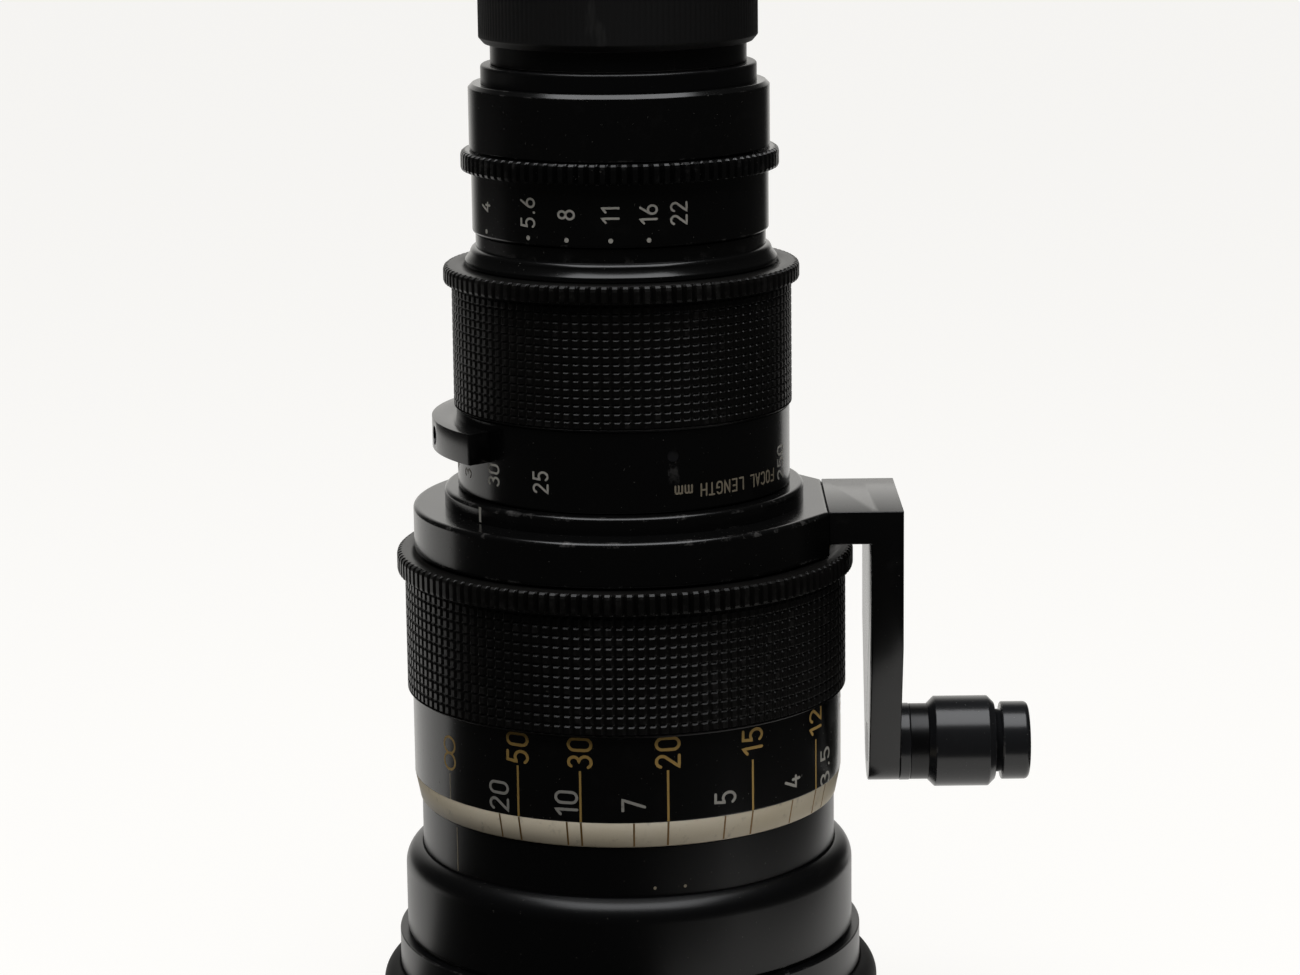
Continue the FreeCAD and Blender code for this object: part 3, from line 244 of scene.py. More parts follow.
def cut_ring(name, plain_foot, plain_top, knurl, gear, teeth):
    """A ring whose outside is cut in columns: a knurled wall of square pads, then a toothed flange.
    Every row of the grid has a radius, a height and how deep the column cut goes in it; the cut follows the
    bearing as a trapezoid wave.  Pads are the smaller of the column wave and the row wave."""
    angle, column = repeated(teeth, TOOTH_SHARE, TOOTH_WAVE)
    rows = []
    marks = []
    flat = []

    def plain(points, point_marks):
        for (r, z), mark in zip(points, point_marks):
            rows.append((r, z))
            marks.append(np.full_like(angle, mark))
            flat.append(False)

    plain(*plain_foot)
    low, high, radius, depth, count = knurl
    pitch = (high - low) / count
    for number in range(count + 1):
        for share, wave in zip(PAD_SHARE, PAD_WAVE):
            if number == count and share > 0:
                break
            height = np.minimum(column, wave)
            rows.append((radius - depth * (1 - height), low + (number + share) * pitch))
            marks.append(0.5 * height)
            flat.append(True)
    for r, z, cut, mark in gear:
        rows.append((r - cut * (1 - column), z))
        marks.append(tooth_marks(mark, column))
        flat.append(True)
    plain(*plain_top)
    grid = np.concatenate([about_axis(r, angle, z) for r, z in rows])
    faces = ring_faces(len(rows), len(angle), True)
    smooth = ~np.array(flat)
    both = smooth & np.roll(smooth, -1)
    return new_piece(name, grid, faces, np.repeat(both, len(angle)), np.concatenate(marks))


def wrapped(piece, radius_at, bearing, level):
    """A flat piece drawn in (x along the bearing, y up, z out), in millimetres, bent round the axis."""
    mesh = piece.data
    flat = np.zeros(len(mesh.vertices) * 3)
    mesh.vertices.foreach_get("co", flat)
    flat = flat.reshape(-1, 3) / MM
    z = flat[:, 1] + level
    r = radius_at(z)
    bent = about_axis(r + flat[:, 2], radians(bearing) + flat[:, 0] / r, z) * MM
    mesh.vertices.foreach_set("co", bent.astype(np.float32).ravel())
    mesh.update()
    return piece


# ---------------------------------------------------------------- engraved strokes


def arc(x, y, rx, ry, start, end):
    """Points of an ellipse's arc, from one angle to another in degrees."""
    count = max(3, int(abs(end - start) / 18) + 1)
    a = np.radians(np.linspace(start, end, count))
    return list(zip(x + rx * np.cos(a), y + ry * np.sin(a)))


# Each sign is a list of strokes in a cell 0.5 wide and 1 high, as a pantograph engraver cuts them.
SIGNS = {
    "0": [arc(0.25, 0.74, 0.25, 0.26, 0, 180) + arc(0.25, 0.26, 0.25, 0.26, 180, 360) + [(0.5, 0.74)]],
    "1": [[(0.06, 0.78), (0.3, 1.0), (0.3, 0.0)]],
    "2": [arc(0.25, 0.75, 0.24, 0.25, 165, -30) + [(0.0, 0.0), (0.5, 0.0)]],
    "3": [arc(0.25, 0.77, 0.22, 0.23, 150, -90) + arc(0.25, 0.27, 0.25, 0.27, 90, -150)],
    "4": [[(0.3, 1.0), (0.0, 0.27), (0.5, 0.27)], [(0.36, 0.5), (0.36, 0.0)]],
    "5": [[(0.46, 1.0), (0.08, 1.0), (0.04, 0.56)] + arc(0.24, 0.31, 0.26, 0.31, 125, -145)],
    "6": [[(0.38, 1.0), (0.05, 0.46)] + arc(0.25, 0.27, 0.25, 0.27, 150, -210)],
    "7": [[(0.0, 1.0), (0.5, 1.0), (0.16, 0.0)]],
    "8": [arc(0.25, 0.77, 0.21, 0.23, -90, 270), arc(0.25, 0.27, 0.25, 0.27, 90, 450)],
    "9": [[(0.12, 0.0), (0.45, 0.54)] + arc(0.25, 0.73, 0.25, 0.27, -30, 330)],
    ".": [[(0.1, 0.0), (0.12, 0.04)]],
    "o": [arc(0.24, 0.5, 0.24, 0.27, 0, 360), arc(0.72, 0.5, 0.24, 0.27, 180, 540)],
    "F": [[(0.46, 1.0), (0.0, 1.0), (0.0, 0.0)], [(0.0, 0.52), (0.36, 0.52)]],
    "T": [[(0.0, 1.0), (0.5, 1.0)], [(0.25, 1.0), (0.25, 0.0)]],
    "M": [[(0.0, 0.0), (0.0, 1.0), (0.25, 0.4), (0.5, 1.0), (0.5, 0.0)]],
    "C": [arc(0.27, 0.73, 0.26, 0.27, 30, 180) + arc(0.27, 0.27, 0.26, 0.27, 180, 330)],
    "A": [[(0.0, 0.0), (0.25, 1.0), (0.5, 0.0)], [(0.1, 0.34), (0.4, 0.34)]],
    "L": [[(0.0, 1.0), (0.0, 0.0), (0.44, 0.0)]],
    "E": [[(0.46, 1.0), (0.0, 1.0), (0.0, 0.0), (0.46, 0.0)], [(0.0, 0.52), (0.38, 0.52)]],
    "N": [[(0.0, 0.0), (0.0, 1.0), (0.5, 0.0), (0.5, 1.0)]],
    "G": [arc(0.27, 0.73, 0.26, 0.27, 30, 180) + arc(0.27, 0.27, 0.26, 0.27, 180, 350)
          + [(0.53, 0.48), (0.3, 0.48)]],
    "H": [[(0.0, 0.0), (0.0, 1.0)], [(0.5, 0.0), (0.5, 1.0)], [(0.0, 0.52), (0.5, 0.52)]],
    "O": [arc(0.25, 0.72, 0.25, 0.28, 0, 180) + arc(0.25, 0.28, 0.25, 0.28, 180, 360) + [(0.5, 0.72)]],
    "m": [[(0.0, 0.0), (0.0, 0.62)], arc(0.15, 0.45, 0.15, 0.18, 180, 0) + [(0.3, 0.0)],
          arc(0.45, 0.45, 0.15, 0.18, 180, 0) + [(0.6, 0.0)]],
    " ": [],
}
PLAIN_WIDTH = 0.5
WIDE = {"o": 0.96, "m": 0.6, ".": 0.14, "1": 0.34, " ": 0.3}
SIGN_GAP = 0.28
FILL_DEPTH = 0.03  # a fill stands this far out of the wall and reaches as far into it, in millimetres


def stroke_ribbon(points, width):
    """One stroke as a ribbon: the points of its two sides, and three more round each of its two ends."""
    line = np.array(points, dtype=float)
    step = np.diff(line, axis=0)
    keep = np.concatenate([[True], np.hypot(step[:, 0], step[:, 1]) > 1e-6])
    line = line[keep]
    step = np.diff(line, axis=0)
    step = step / np.hypot(step[:, 0], step[:, 1])[:, None]
    along = np.vstack([step[:1], step[:-1] + step[1:], step[-1:]])
    size = np.hypot(along[:, 0], along[:, 1])[:, None]
    along = along / np.maximum(size, 0.35)
    stretch = np.ones(len(line))
    stretch[1:-1] = np.minimum(1.4, 2 / np.maximum(size[1:-1, 0], 0.8))
    side = np.stack([-along[:, 1], along[:, 0]], -1) * (width / 2 * stretch)[:, None]
    left = line + side
    right = line - side
    cap = np.radians([45, 90, 135])[:, None]
    start = line[0] + np.cos(cap) * side[0] - np.sin(cap) * along[0] * width / 2
    end = line[-1] - np.cos(cap) * side[-1] + np.sin(cap) * along[-1] * width / 2
    return left, right, start, end


def divided(stroke, longest=0.7):
    """A stroke's line with its long straight parts divided, so that it can follow a curved wall."""
    line = np.array(stroke, dtype=float)
    parts = [line[:1]]
    for start, end in zip(line, line[1:]):
        count = max(1, int(np.ceil(np.hypot(*(end - start)) / longest)))
        share = np.linspace(0, 1, count + 1)[1:, None]
        parts.append(start + share * (end - start))
    return np.vstack(parts)


def engraved(name, text, height, width):
    """A line of engraved signs filled with paint, centred on the origin: (x along, y up, z out), millimetres.
    Each stroke is a thin closed slab, a strip between its two sides with fans at its round ends."""
    points = []
    faces = []
    pen = 0.0
    total = sum(WIDE.get(sign, PLAIN_WIDTH) + SIGN_GAP for sign in text) - SIGN_GAP
    for sign in text:
        for stroke in SIGNS[sign]:
            left, right, start, end = stroke_ribbon(divided(np.array(stroke) * height), width)
            count = len(left)
            flat = np.vstack([left, right, start, end])
            flat = flat + np.array([(pen - total / 2) * height, -height / 2])
            first = len(points)
            under = first + len(flat)
            points.extend([(x, y, FILL_DEPTH) for x, y in flat])
            points.extend([(x, y, -FILL_DEPTH) for x, y in flat])
            start_fan = list(range(2 * count, 2 * count + 3))
            end_fan = list(range(2 * count + 3, 2 * count + 6))
            upper = [[i, count + i, count + i + 1, i + 1] for i in range(count - 1)]
            upper.append([0, *start_fan, count])
            upper.append([2 * count - 1, *end_fan, count - 1])
            for face in upper:
                faces.append([first + v for v in face])
                faces.append([under + v for v in reversed(face)])
            rim = [*range(count, 2 * count), *end_fan, *range(count - 1, -1, -1), *start_fan]
            for a, b in zip(rim, rim[1:] + rim[:1]):
                faces.append([first + b, first + a, under + a, under + b])
        pen += WIDE.get(sign, PLAIN_WIDTH) + SIGN_GAP
    return new_piece(name, points, faces, False)


def bar_mark(name, width, low, high, radius_at, bearing):
    """A straight engraved line that runs up the wall: a thin closed slab that follows the wall's radius."""
    rows = 10
    y = np.linspace(low, high, rows)[:, None]
    x = np.array([-width / 2, width / 2, width / 2, -width / 2])
    z = np.array([-FILL_DEPTH, -FILL_DEPTH, FILL_DEPTH, FILL_DEPTH])
    r = radius_at(y)
    grid = about_axis(r + z, radians(bearing) + x / r, y).reshape(-1, 3)
    last = (rows - 1) * 4
    quads = ring_faces(rows, 4, False).tolist()
    quads.append([3, 2, 1, 0])
    quads.append([last, last + 1, last + 2, last + 3])
    return new_piece(name, grid, quads, False)


def recalculated(piece):
    """The piece with its faces turned outwards."""
    build = bmesh.new()
    build.from_mesh(piece.data)
    bmesh.ops.recalc_face_normals(build, faces=build.faces)
    build.to_mesh(piece.data)
    build.free()
    return piece


# ---------------------------------------------------------------- materials


class Value:
    """A socket that adds, subtracts, multiplies, divides and powers as a number does."""

    def __init__(self, paint, socket):
        self.paint = paint
        self.socket = socket

    def maths(self, operation, first, second=None, **more):
        node = self.paint.tree.nodes.new("ShaderNodeMath")
        node.operation = operation
        for k, v in more.items():
            setattr(node, k, v)
        for place, value in ((0, first), (1, second)):
            if value is not None:
                self.paint.feed(node.inputs[place], value)
        return Value(self.paint, node.outputs[0])

    def __add__(self, other):
        return self.maths("ADD", self, other)

    __radd__ = __add__

    def __sub__(self, other):
        return self.maths("SUBTRACT", self, other)

    def __rsub__(self, other):
        return self.maths("SUBTRACT", other, self)

    def __mul__(self, other):
        return self.maths("MULTIPLY", self, other)

    __rmul__ = __mul__

    def __truediv__(self, other):
        return self.maths("DIVIDE", self, other)

    def __pow__(self, other):
        return self.maths("POWER", self, other)

    def clamped(self):
        return self.maths("ADD", self, 0.0, use_clamp=True)


class Paint:
    """A material that is built up from nodes."""

    def __init__(self, name, **constants):
        self.material = bpy.data.materials.new(name)
        self.material.use_nodes = True
        self.tree = self.material.node_tree
        self.shader = self.tree.nodes["Principled BSDF"]
        for socket, value in constants.items():
            self.shader.inputs[socket.replace("_", " ")].default_value = value
        self.place = Value(self, self.node("ShaderNodeTexCoord").outputs["Object"])

    def feed(self, socket, value):
        if isinstance(value, Value):
            self.tree.links.new(value.socket, socket)
        else:
            socket.default_value = value

    def node(self, kind, settings=None, **inputs):
        """One node: its type, its settings, then the values or links of its sockets."""
        made = self.tree.nodes.new(kind)
        for key, value in (settings or {}).items():
            if key == "stops":
                ramp = made.color_ramp
                while len(ramp.elements) < len(value):
                    ramp.elements.new(0.5)
                for element, (position, colour) in zip(ramp.elements, value):
                    element.position = position
                    element.color = colour
            else:
                setattr(made, key, value)
        for key, value in inputs.items():
            self.feed(made.inputs[int(key[1:]) if key[0] == "_" else key], value)
        return made

    def noise(self, scale, detail=3.0, roughness=0.55, at=None, distortion=0.0):
        made = self.node("ShaderNodeTexNoise", None, Vector=at or self.place, Scale=scale, Detail=detail,
                         Roughness=roughness, Distortion=distortion)
        return Value(self, made.outputs["Fac"])

    def stretched(self, x, y, z):
        made = self.node("ShaderNodeVectorMath", {"operation": "MULTIPLY"}, _0=self.place, _1=(x, y, z))
        return Value(self, made.outputs[0])

    def axial(self):
        """The distance from the lens axis and the height."""
        parts = self.node("ShaderNodeSeparateXYZ", None, _0=self.place)
        x, y, z = (Value(self, parts.outputs[i]) for i in range(3))
        return (x * x + y * y) ** 0.5, z

    def vector(self, x, y, z):
        made = self.node("ShaderNodeCombineXYZ", None, _0=x, _1=y, _2=z)
        return Value(self, made.outputs[0])

    def attribute(self, name):
        return Value(self, self.node("ShaderNodeAttribute", {"attribute_name": name}).outputs["Fac"])

    def steps(self, value, low, high):
        """Zero below low and one above high, smooth between."""
        smooth = {"interpolation_type": "SMOOTHSTEP"}
        made = self.node("ShaderNodeMapRange", smooth, _0=value, _1=low, _2=high)
        return Value(self, made.outputs[0])

    def blend(self, share, first, second):
        """A colour from first to second as share goes from zero to one."""
        made = self.node("ShaderNodeMix", {"data_type": "RGBA"}, _0=share, _6=first, _7=second)
        return Value(self, made.outputs[2])

    def finish(self, colour=None, roughness=None, metallic=None, height=None, distance=0.0001, strength=1.0):
        for socket, value in (("Base Color", colour), ("Roughness", roughness), ("Metallic", metallic)):
            if value is not None:
                self.feed(self.shader.inputs[socket], value)
        if height is not None:
            bump = self.node("ShaderNodeBump", None, Strength=strength, Distance=distance, Height=height)
            self.tree.links.new(bump.outputs[0], self.shader.inputs["Normal"])
        return self.material


def lathe_lines(paint, pitch_mm=0.05):
    """Fine turning lines: noise along the height on a wall, and along the radius on a face."""
    radius, z = paint.axial()
    pitch = pitch_mm * MM
    return paint.noise(1.0, 2.0, 0.7, at=paint.vector(0.0, radius / pitch, z / pitch))


def times(shade, factor):
    """A shade made lighter or darker, with its alpha."""
    return (*[c * factor for c in shade], 1)


def black_alloy(name, shade, rough, wear=0.5, line_height=0.5, index=1.5):
    """Black anodised alloy: fine turning lines, faint handling smears, specks of dust, and bare metal where
    edges are worn."""
    paint = Paint(name, IOR=index)
    lines = lathe_lines(paint)
    smear = paint.noise(30.0, 3.0, 0.5, distortion=0.6)
    speck = paint.steps(paint.noise(1500.0, 1.0, 0.4), 0.76, 0.80)
    scratch = paint.steps(paint.noise(240.0, 2.0, 0.7, at=paint.stretched(1.0, 1.0, 0.06)), 0.74, 0.78)
    edge = paint.attribute("edge")
    patch = paint.steps(paint.noise(170.0, 5.0, 0.7), 0.53, 0.68)
    bare = (edge * edge * patch * wear).clamped()
    ground = paint.blend(smear, times(shade, 0.9), times(shade, 1.1))
    dusty = paint.blend((speck * 0.45 + scratch * 0.06).clamped(), ground, (0.12, 0.115, 0.10, 1))
    colour = paint.blend(bare, dusty, (0.26, 0.25, 0.24, 1))
    roughness = (rough - 0.02 + smear * 0.05 + speck * 0.3).clamped()
    height = lines * line_height + speck * 0.6 - scratch * 0.3
    return paint.finish(colour, roughness, bare * 0.7, height, 0.000008, 0.5)


def moulded_black(name, shade=(0.0045, 0.0042, 0.004), rough=0.6):
    """Moulded black plastic: a fine grain, polished where hands rub it, with scuffs."""
    paint = Paint(name, IOR=1.42)
    grain = paint.noise(2600.0, 2.0, 0.6)
    rub = paint.noise(30.0, 3.0, 0.6)
    scuff = paint.steps(paint.noise(120.0, 4.0, 0.7, at=paint.stretched(1.0, 1.0, 0.2)), 0.62, 0.72)
    edge = paint.attribute("edge")
    polish = (edge * 0.6 * rub).clamped()
    ground = paint.blend(rub, times(shade, 0.8), times(shade, 1.5))
    colour = paint.blend((scuff * 0.12 + polish * 0.1).clamped(), ground, (0.12, 0.118, 0.11, 1))
    roughness = (rough + grain * 0.12 - polish * 0.25 + scuff * 0.08).clamped()
    return paint.finish(colour, roughness, None, grain * 0.6 + scuff * 0.3, 0.00003, 0.5)


def enamel(name, shade, rough=0.42):
    """Old enamel: slightly mottled, yellowed and chipped by handling, with dirt in its pores."""
    paint = Paint(name, IOR=1.5)
    lines = lathe_lines(paint, 0.12)
    mottle = paint.noise(60.0, 4.0, 0.6)
    grime = paint.steps(paint.noise(300.0, 4.0, 0.7), 0.56, 0.75)
    edge = paint.attribute("edge")
    warm = paint.blend(mottle, (*shade, 1), (shade[0] * 0.86, shade[1] * 0.82, shade[2] * 0.72, 1))
    dirty = paint.blend((grime * 0.35 + edge * 0.25).clamped(), warm, (0.16, 0.13, 0.09, 1))
    roughness = (rough + mottle * 0.12).clamped()
    return paint.finish(dirty, roughness, None, lines * 0.4 + mottle * 0.5, 0.00002, 0.4)


def engraving_fill(name, shade):
    """Paint in an engraved line: thin, a little uneven, worn away in places."""
    paint = Paint(name, IOR=1.45)
    mottle = paint.noise(420.0, 4.0, 0.65)
    worn = paint.steps(mottle, 0.60, 0.74)
    colour = paint.blend(worn * 0.55, (*shade, 1), times(shade, 0.35))
    return paint.finish(colour, (0.5 + mottle * 0.2).clamped(), None, mottle, 0.00001, 0.3)


def bare_metal(name, shade, rough, pitch=0.08, stain=(0.1, 0.09, 0.08)):
    """Turned metal: tool lines, faint stains and grease."""
    paint = Paint(name, Metallic=1.0)
    lines = lathe_lines(paint, pitch)
    stains = paint.steps(paint.noise(55.0, 5.0, 0.65), 0.48, 0.75)
    dull = (*[s * 0.5 + t * 0.5 for s, t in zip(shade, stain)], 1)
    colour = paint.blend(stains * 0.35, (*shade, 1), dull)
    roughness = (rough + lines * 0.12 + stains * 0.12).clamped()
    return paint.finish(colour, roughness, None, lines, 0.00001, 0.5)


def coated_glass(name, tint):
    """Coated optical glass: clear, with a faint coloured coat, dust specks and a soft wipe mark."""
    paint = Paint(name, IOR=1.6, Transmission_Weight=1.0, Coat_Weight=0.6, Coat_Roughness=0.02,
                  Coat_Tint=(*tint, 1))
    wipe = paint.noise(45.0, 3.0, 0.6, distortion=1.5)
    speck = paint.steps(paint.noise(1500.0, 1.0, 0.4), 0.76, 0.8)
    colour = paint.blend(speck * 0.6, (0.95, 0.97, 0.98, 1), (0.5, 0.5, 0.48, 1))
    return paint.finish(colour, (speck * 0.5 + wipe * 0.03).clamped(), None, wipe, 0.000002, 0.1)


# ---------------------------------------------------------------- view and light


CAMERA_PLACE = (0.006486, -0.90046, 0.33165)
CAMERA_DIP = 11.79  # degrees
CAMERA_ROLL = -0.695  # degrees
CAMERA_LENS = 101.33


def camera():
    """The camera: a long lens a little under a metre away, looking twelve degrees down."""
    data = bpy.data.cameras.new("camera")
    data.sensor_width = 36.0
    data.lens = CAMERA_LENS
    data.clip_end = 50
    view = bpy.data.objects.new("camera", data)
    view.matrix_world = (
        Matrix.Translation(CAMERA_PLACE)
        @ Matrix.Rotation(radians(90 - CAMERA_DIP), 4, "X")
        @ Matrix.Rotation(radians(CAMERA_ROLL), 4, "Z")
    )
    bpy.context.scene.collection.objects.link(view)
    bpy.context.scene.camera = view


def area(name, place, aim, size, size_y, power, colour):
    """A soft box that faces a point and is hidden from the camera."""
    data = bpy.data.lights.new(name, "AREA")
    data.shape = "RECTANGLE"
    data.size = size
    data.size_y = size_y
    data.energy = power
    data.color = colour
    lamp = bpy.data.objects.new(name, data)
    lamp.location = place
    lamp.rotation_euler = (Vector(aim) - Vector(place)).to_track_quat("-Z", "Y").to_euler()
    bpy.context.scene.collection.objects.link(lamp)
    lamp.visible_camera = False


def backdrop_light(tree):
    """The room as the lens sees it: white behind, dark in front.  A white share that rises with the bearing
    away from the camera, on each side between its own pair of bearings in degrees, and falls with the
    height."""
    def maths(operation, first, second=None, third=None):
        node = tree.nodes.new("ShaderNodeMath")
        node.operation = operation
        for place, value in enumerate((first, second, third)):
            if value is None:
                continue
            if isinstance(value, (int, float)):
                node.inputs[place].default_value = value
            else:
                tree.links.new(value, node.inputs[place])
        return node.outputs[0]

    def ramp(value, low, high):
        node = tree.nodes.new("ShaderNodeMapRange")
        node.interpolation_type = "SMOOTHSTEP"
        tree.links.new(value, node.inputs[0])
        node.inputs[1].default_value = low
        node.inputs[2].default_value = high
        return node.outputs[0]

    place = tree.nodes.new("ShaderNodeTexCoord")
    split = tree.nodes.new("ShaderNodeSeparateXYZ")
    tree.links.new(place.outputs["Generated"], split.inputs[0])
    x, y, z = split.outputs
    bearing = maths("ARCTAN2", x, maths("MULTIPLY", y, -1.0))
    left = ramp(maths("MULTIPLY", bearing, -1.0), radians(140), radians(168))
    right = ramp(bearing, radians(150), radians(170))
    side = maths("MAXIMUM", left, right)
    low = ramp(z, 0.75, 0.35)
    return maths("MULTIPLY_ADD", maths("MULTIPLY", side, low), 0.97, 0.025)


def studio():
    """A pale floor, a room that is white behind the lens and dark in front of it, and a soft box above.
    The camera sees the floor as an even white.  The lens sees a wedge of table to its left and behind it,
    and a small table close on its right."""
    scene = bpy.context.scene
    scene.view_settings.view_transform = "Standard"
    world = bpy.data.worlds.new("room")
    scene.world = world
    world.use_nodes = True
    tree = world.node_tree
    tree.nodes.clear()
    out = tree.nodes.new("ShaderNodeOutputWorld")
    mix = tree.nodes.new("ShaderNodeMixShader")
    seen = tree.nodes.new("ShaderNodeBackground")
    seen.inputs[0].default_value = (0.935, 0.925, 0.90, 1)
    lit = tree.nodes.new("ShaderNodeBackground")
    lit.inputs[0].default_value = (0.93, 0.915, 0.88, 1)
    path = tree.nodes.new("ShaderNodeLightPath")
    tree.links.new(backdrop_light(tree), lit.inputs[1])
    tree.links.new(path.outputs["Is Camera Ray"], mix.inputs[0])
    tree.links.new(lit.outputs[0], mix.inputs[1])
    tree.links.new(seen.outputs[0], mix.inputs[2])
    tree.links.new(mix.outputs[0], out.inputs[0])
    area("soft_box_above", (0.0, -0.22, 1.05), (0.0, -0.02, 0.15), 1.0, 0.8, 9.0, (0.97, 0.98, 1.0))

    def plane(name, x0, x1, y0, y1, z):
        corners = [(x0, y0, z), (x1, y0, z), (x1, y1, z), (x0, y1, z)]
        return new_piece(name, corners, [(0, 1, 2, 3)], False)

    far = 15000
    floor = plane("floor", -far, far, -far, far, 0.0)
    paint = Paint("pale_floor", Specular_IOR_Level=0.0, Emission_Color=(0.945, 0.935, 0.915, 1),
                  Emission_Strength=0.96)
    grain = paint.noise(700.0, 3.0, 0.6)
    colour = paint.blend(grain, (0.15, 0.148, 0.143, 1), (0.14, 0.138, 0.133, 1))
    floor.data.materials.append(paint.finish(colour, 0.7, None, grain, 0.00003, 0.1))
    floor.visible_glossy = False
    floor.visible_diffuse = False
    floor.visible_transmission = False
    floor.visible_shadow = False
    turn = np.radians(np.linspace(-102, -220, 24))
    table_r = 1080
    table_z = -0.5
    wedge = [(0, 0, table_z)] + [(table_r * sin(a), -table_r * cos(a), table_z) for a in turn]
    table = new_piece("table_seen_by_the_lens", wedge, [tuple(range(len(wedge)))[::-1]], False)
    near = plane("table_near_the_lens", 30, 190, -150, 190, -0.7)
    paint = Paint("pale_table", Specular_IOR_Level=0.2, Emission_Color=(0.93, 0.915, 0.885, 1),
                  Emission_Strength=0.85)
    white = paint.finish((0.15, 0.147, 0.142, 1), 0.6)
    for piece in (table, near):
        piece.data.materials.append(white)
        piece.visible_camera = False


camera()
studio()

# ---------------------------------------------------------------- finishes

SATIN = black_alloy("satin_black", (0.0035, 0.0035, 0.0038), 0.30, 0.4, 0.6, 1.42)
GLOSS = black_alloy("gloss_black", (0.0035, 0.0035, 0.0035), 0.20, 0.4, 0.35)
KNURL = black_alloy("knurl_black", (0.006, 0.0055, 0.005), 0.34, 0.25, 0.2, 1.38)
STUD = black_alloy("stud_black", (0.016, 0.0165, 0.018), 0.22, 0.4, 0.3)
CAP = moulded_black("cap_plastic")
CREAM = enamel("cream_paint", (0.74, 0.66, 0.52))
ALLOY = bare_metal("alloy", (0.62, 0.62, 0.61), 0.32)
BRASS = bare_metal("brass", (0.72, 0.52, 0.24), 0.28)
STEEL = bare_metal("steel", (0.55, 0.54, 0.52), 0.26, 0.05)
BLADE = bare_metal("blade_steel", (0.10, 0.10, 0.105), 0.42, 0.2)
MOUNT = bare_metal("mount_steel", (0.42, 0.41, 0.40), 0.24, 0.06)
GLASS = coated_glass("glass", (0.55, 0.45, 0.9))
WHITE_FILL = engraving_fill("white_fill", (0.66, 0.63, 0.56))
GOLD_FILL = engraving_fill("gold_fill", (0.60, 0.38, 0.11))
BROWN_FILL = engraving_fill("brown_fill", (0.30, 0.17, 0.05))
GREY_FILL = engraving_fill("grey_fill", (0.42, 0.36, 0.26))
PALE_FILL = engraving_fill("pale_fill", (0.50, 0.48, 0.43))
SCREW = black_alloy("blackened_screw", (0.02, 0.02, 0.021), 0.34, 0.3, 0.2)
BLACK_SCREWS = ("zoom_set_screws", "zoom_lug_screws", "arm_screws", "mount_screws")

# The focus scale: the bearing of the far mark, and how the others follow from their distance in feet
FAR_BEARING = -53.6
FOCUS_RATE = 1188.0
FOCUS_OFFSET = 1.5
METRES_IN_A_FOOT = 0.3048

# The zoom scale: the bearing of the shortest focal length, the turn for ten times that, and the index
SHORTEST_FOCAL = 25
SHORTEST_BEARING = -28.6
TENFOLD_TURN = 262.7
ZOOM_INDEX = -51.1

# The aperture scale: each number with its bearing
APERTURES = (("4", -62.3), ("5.6", -36.9), ("8", -20.3), ("11", -3.4), ("16", 10.9), ("22", 22.7))
UNDOTTED = "22"

# Two angles in degrees: turns of the surface sharper than the first stay sharp, and the second's are bevelled
SHARP_ANGLE = 32
BEVEL_ANGLE = 35

# How far the focus scale's wall leans in over the cream band
BAND_LEAN = 1.3

FINISH = {
    "satin_black": SATIN, "gloss_black": GLOSS, "knurl_black": KNURL, "stud_black": STUD, "cap_plastic": CAP,
    "cream_paint": CREAM, "alloy": ALLOY, "brass": BRASS, "steel": STEEL, "blade_steel": BLADE,
    "mount_steel": MOUNT, "glass": GLASS,
}


def put(piece, slot, body, *replaced, finish=None):
    """A finished piece: its material, its slot in the record, the body it rides on and what it replaces."""
    piece.data.materials.append(finish or FINISH[slot])
    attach(piece, body)
    if replaced:
        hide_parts(*replaced)
    return piece


def paint_nodes():
    """Every CAD node in the material of its own slot."""
    for part in frame["record"]["subparts"]:
        mesh = nodes[part["node"]].data
        mesh.materials.clear()
        blackened = part["node"] in BLACK_SCREWS
        mesh.materials.append(SCREW if blackened else FINISH[part["material_slot"]])


# ---------------------------------------------------------------- the front end


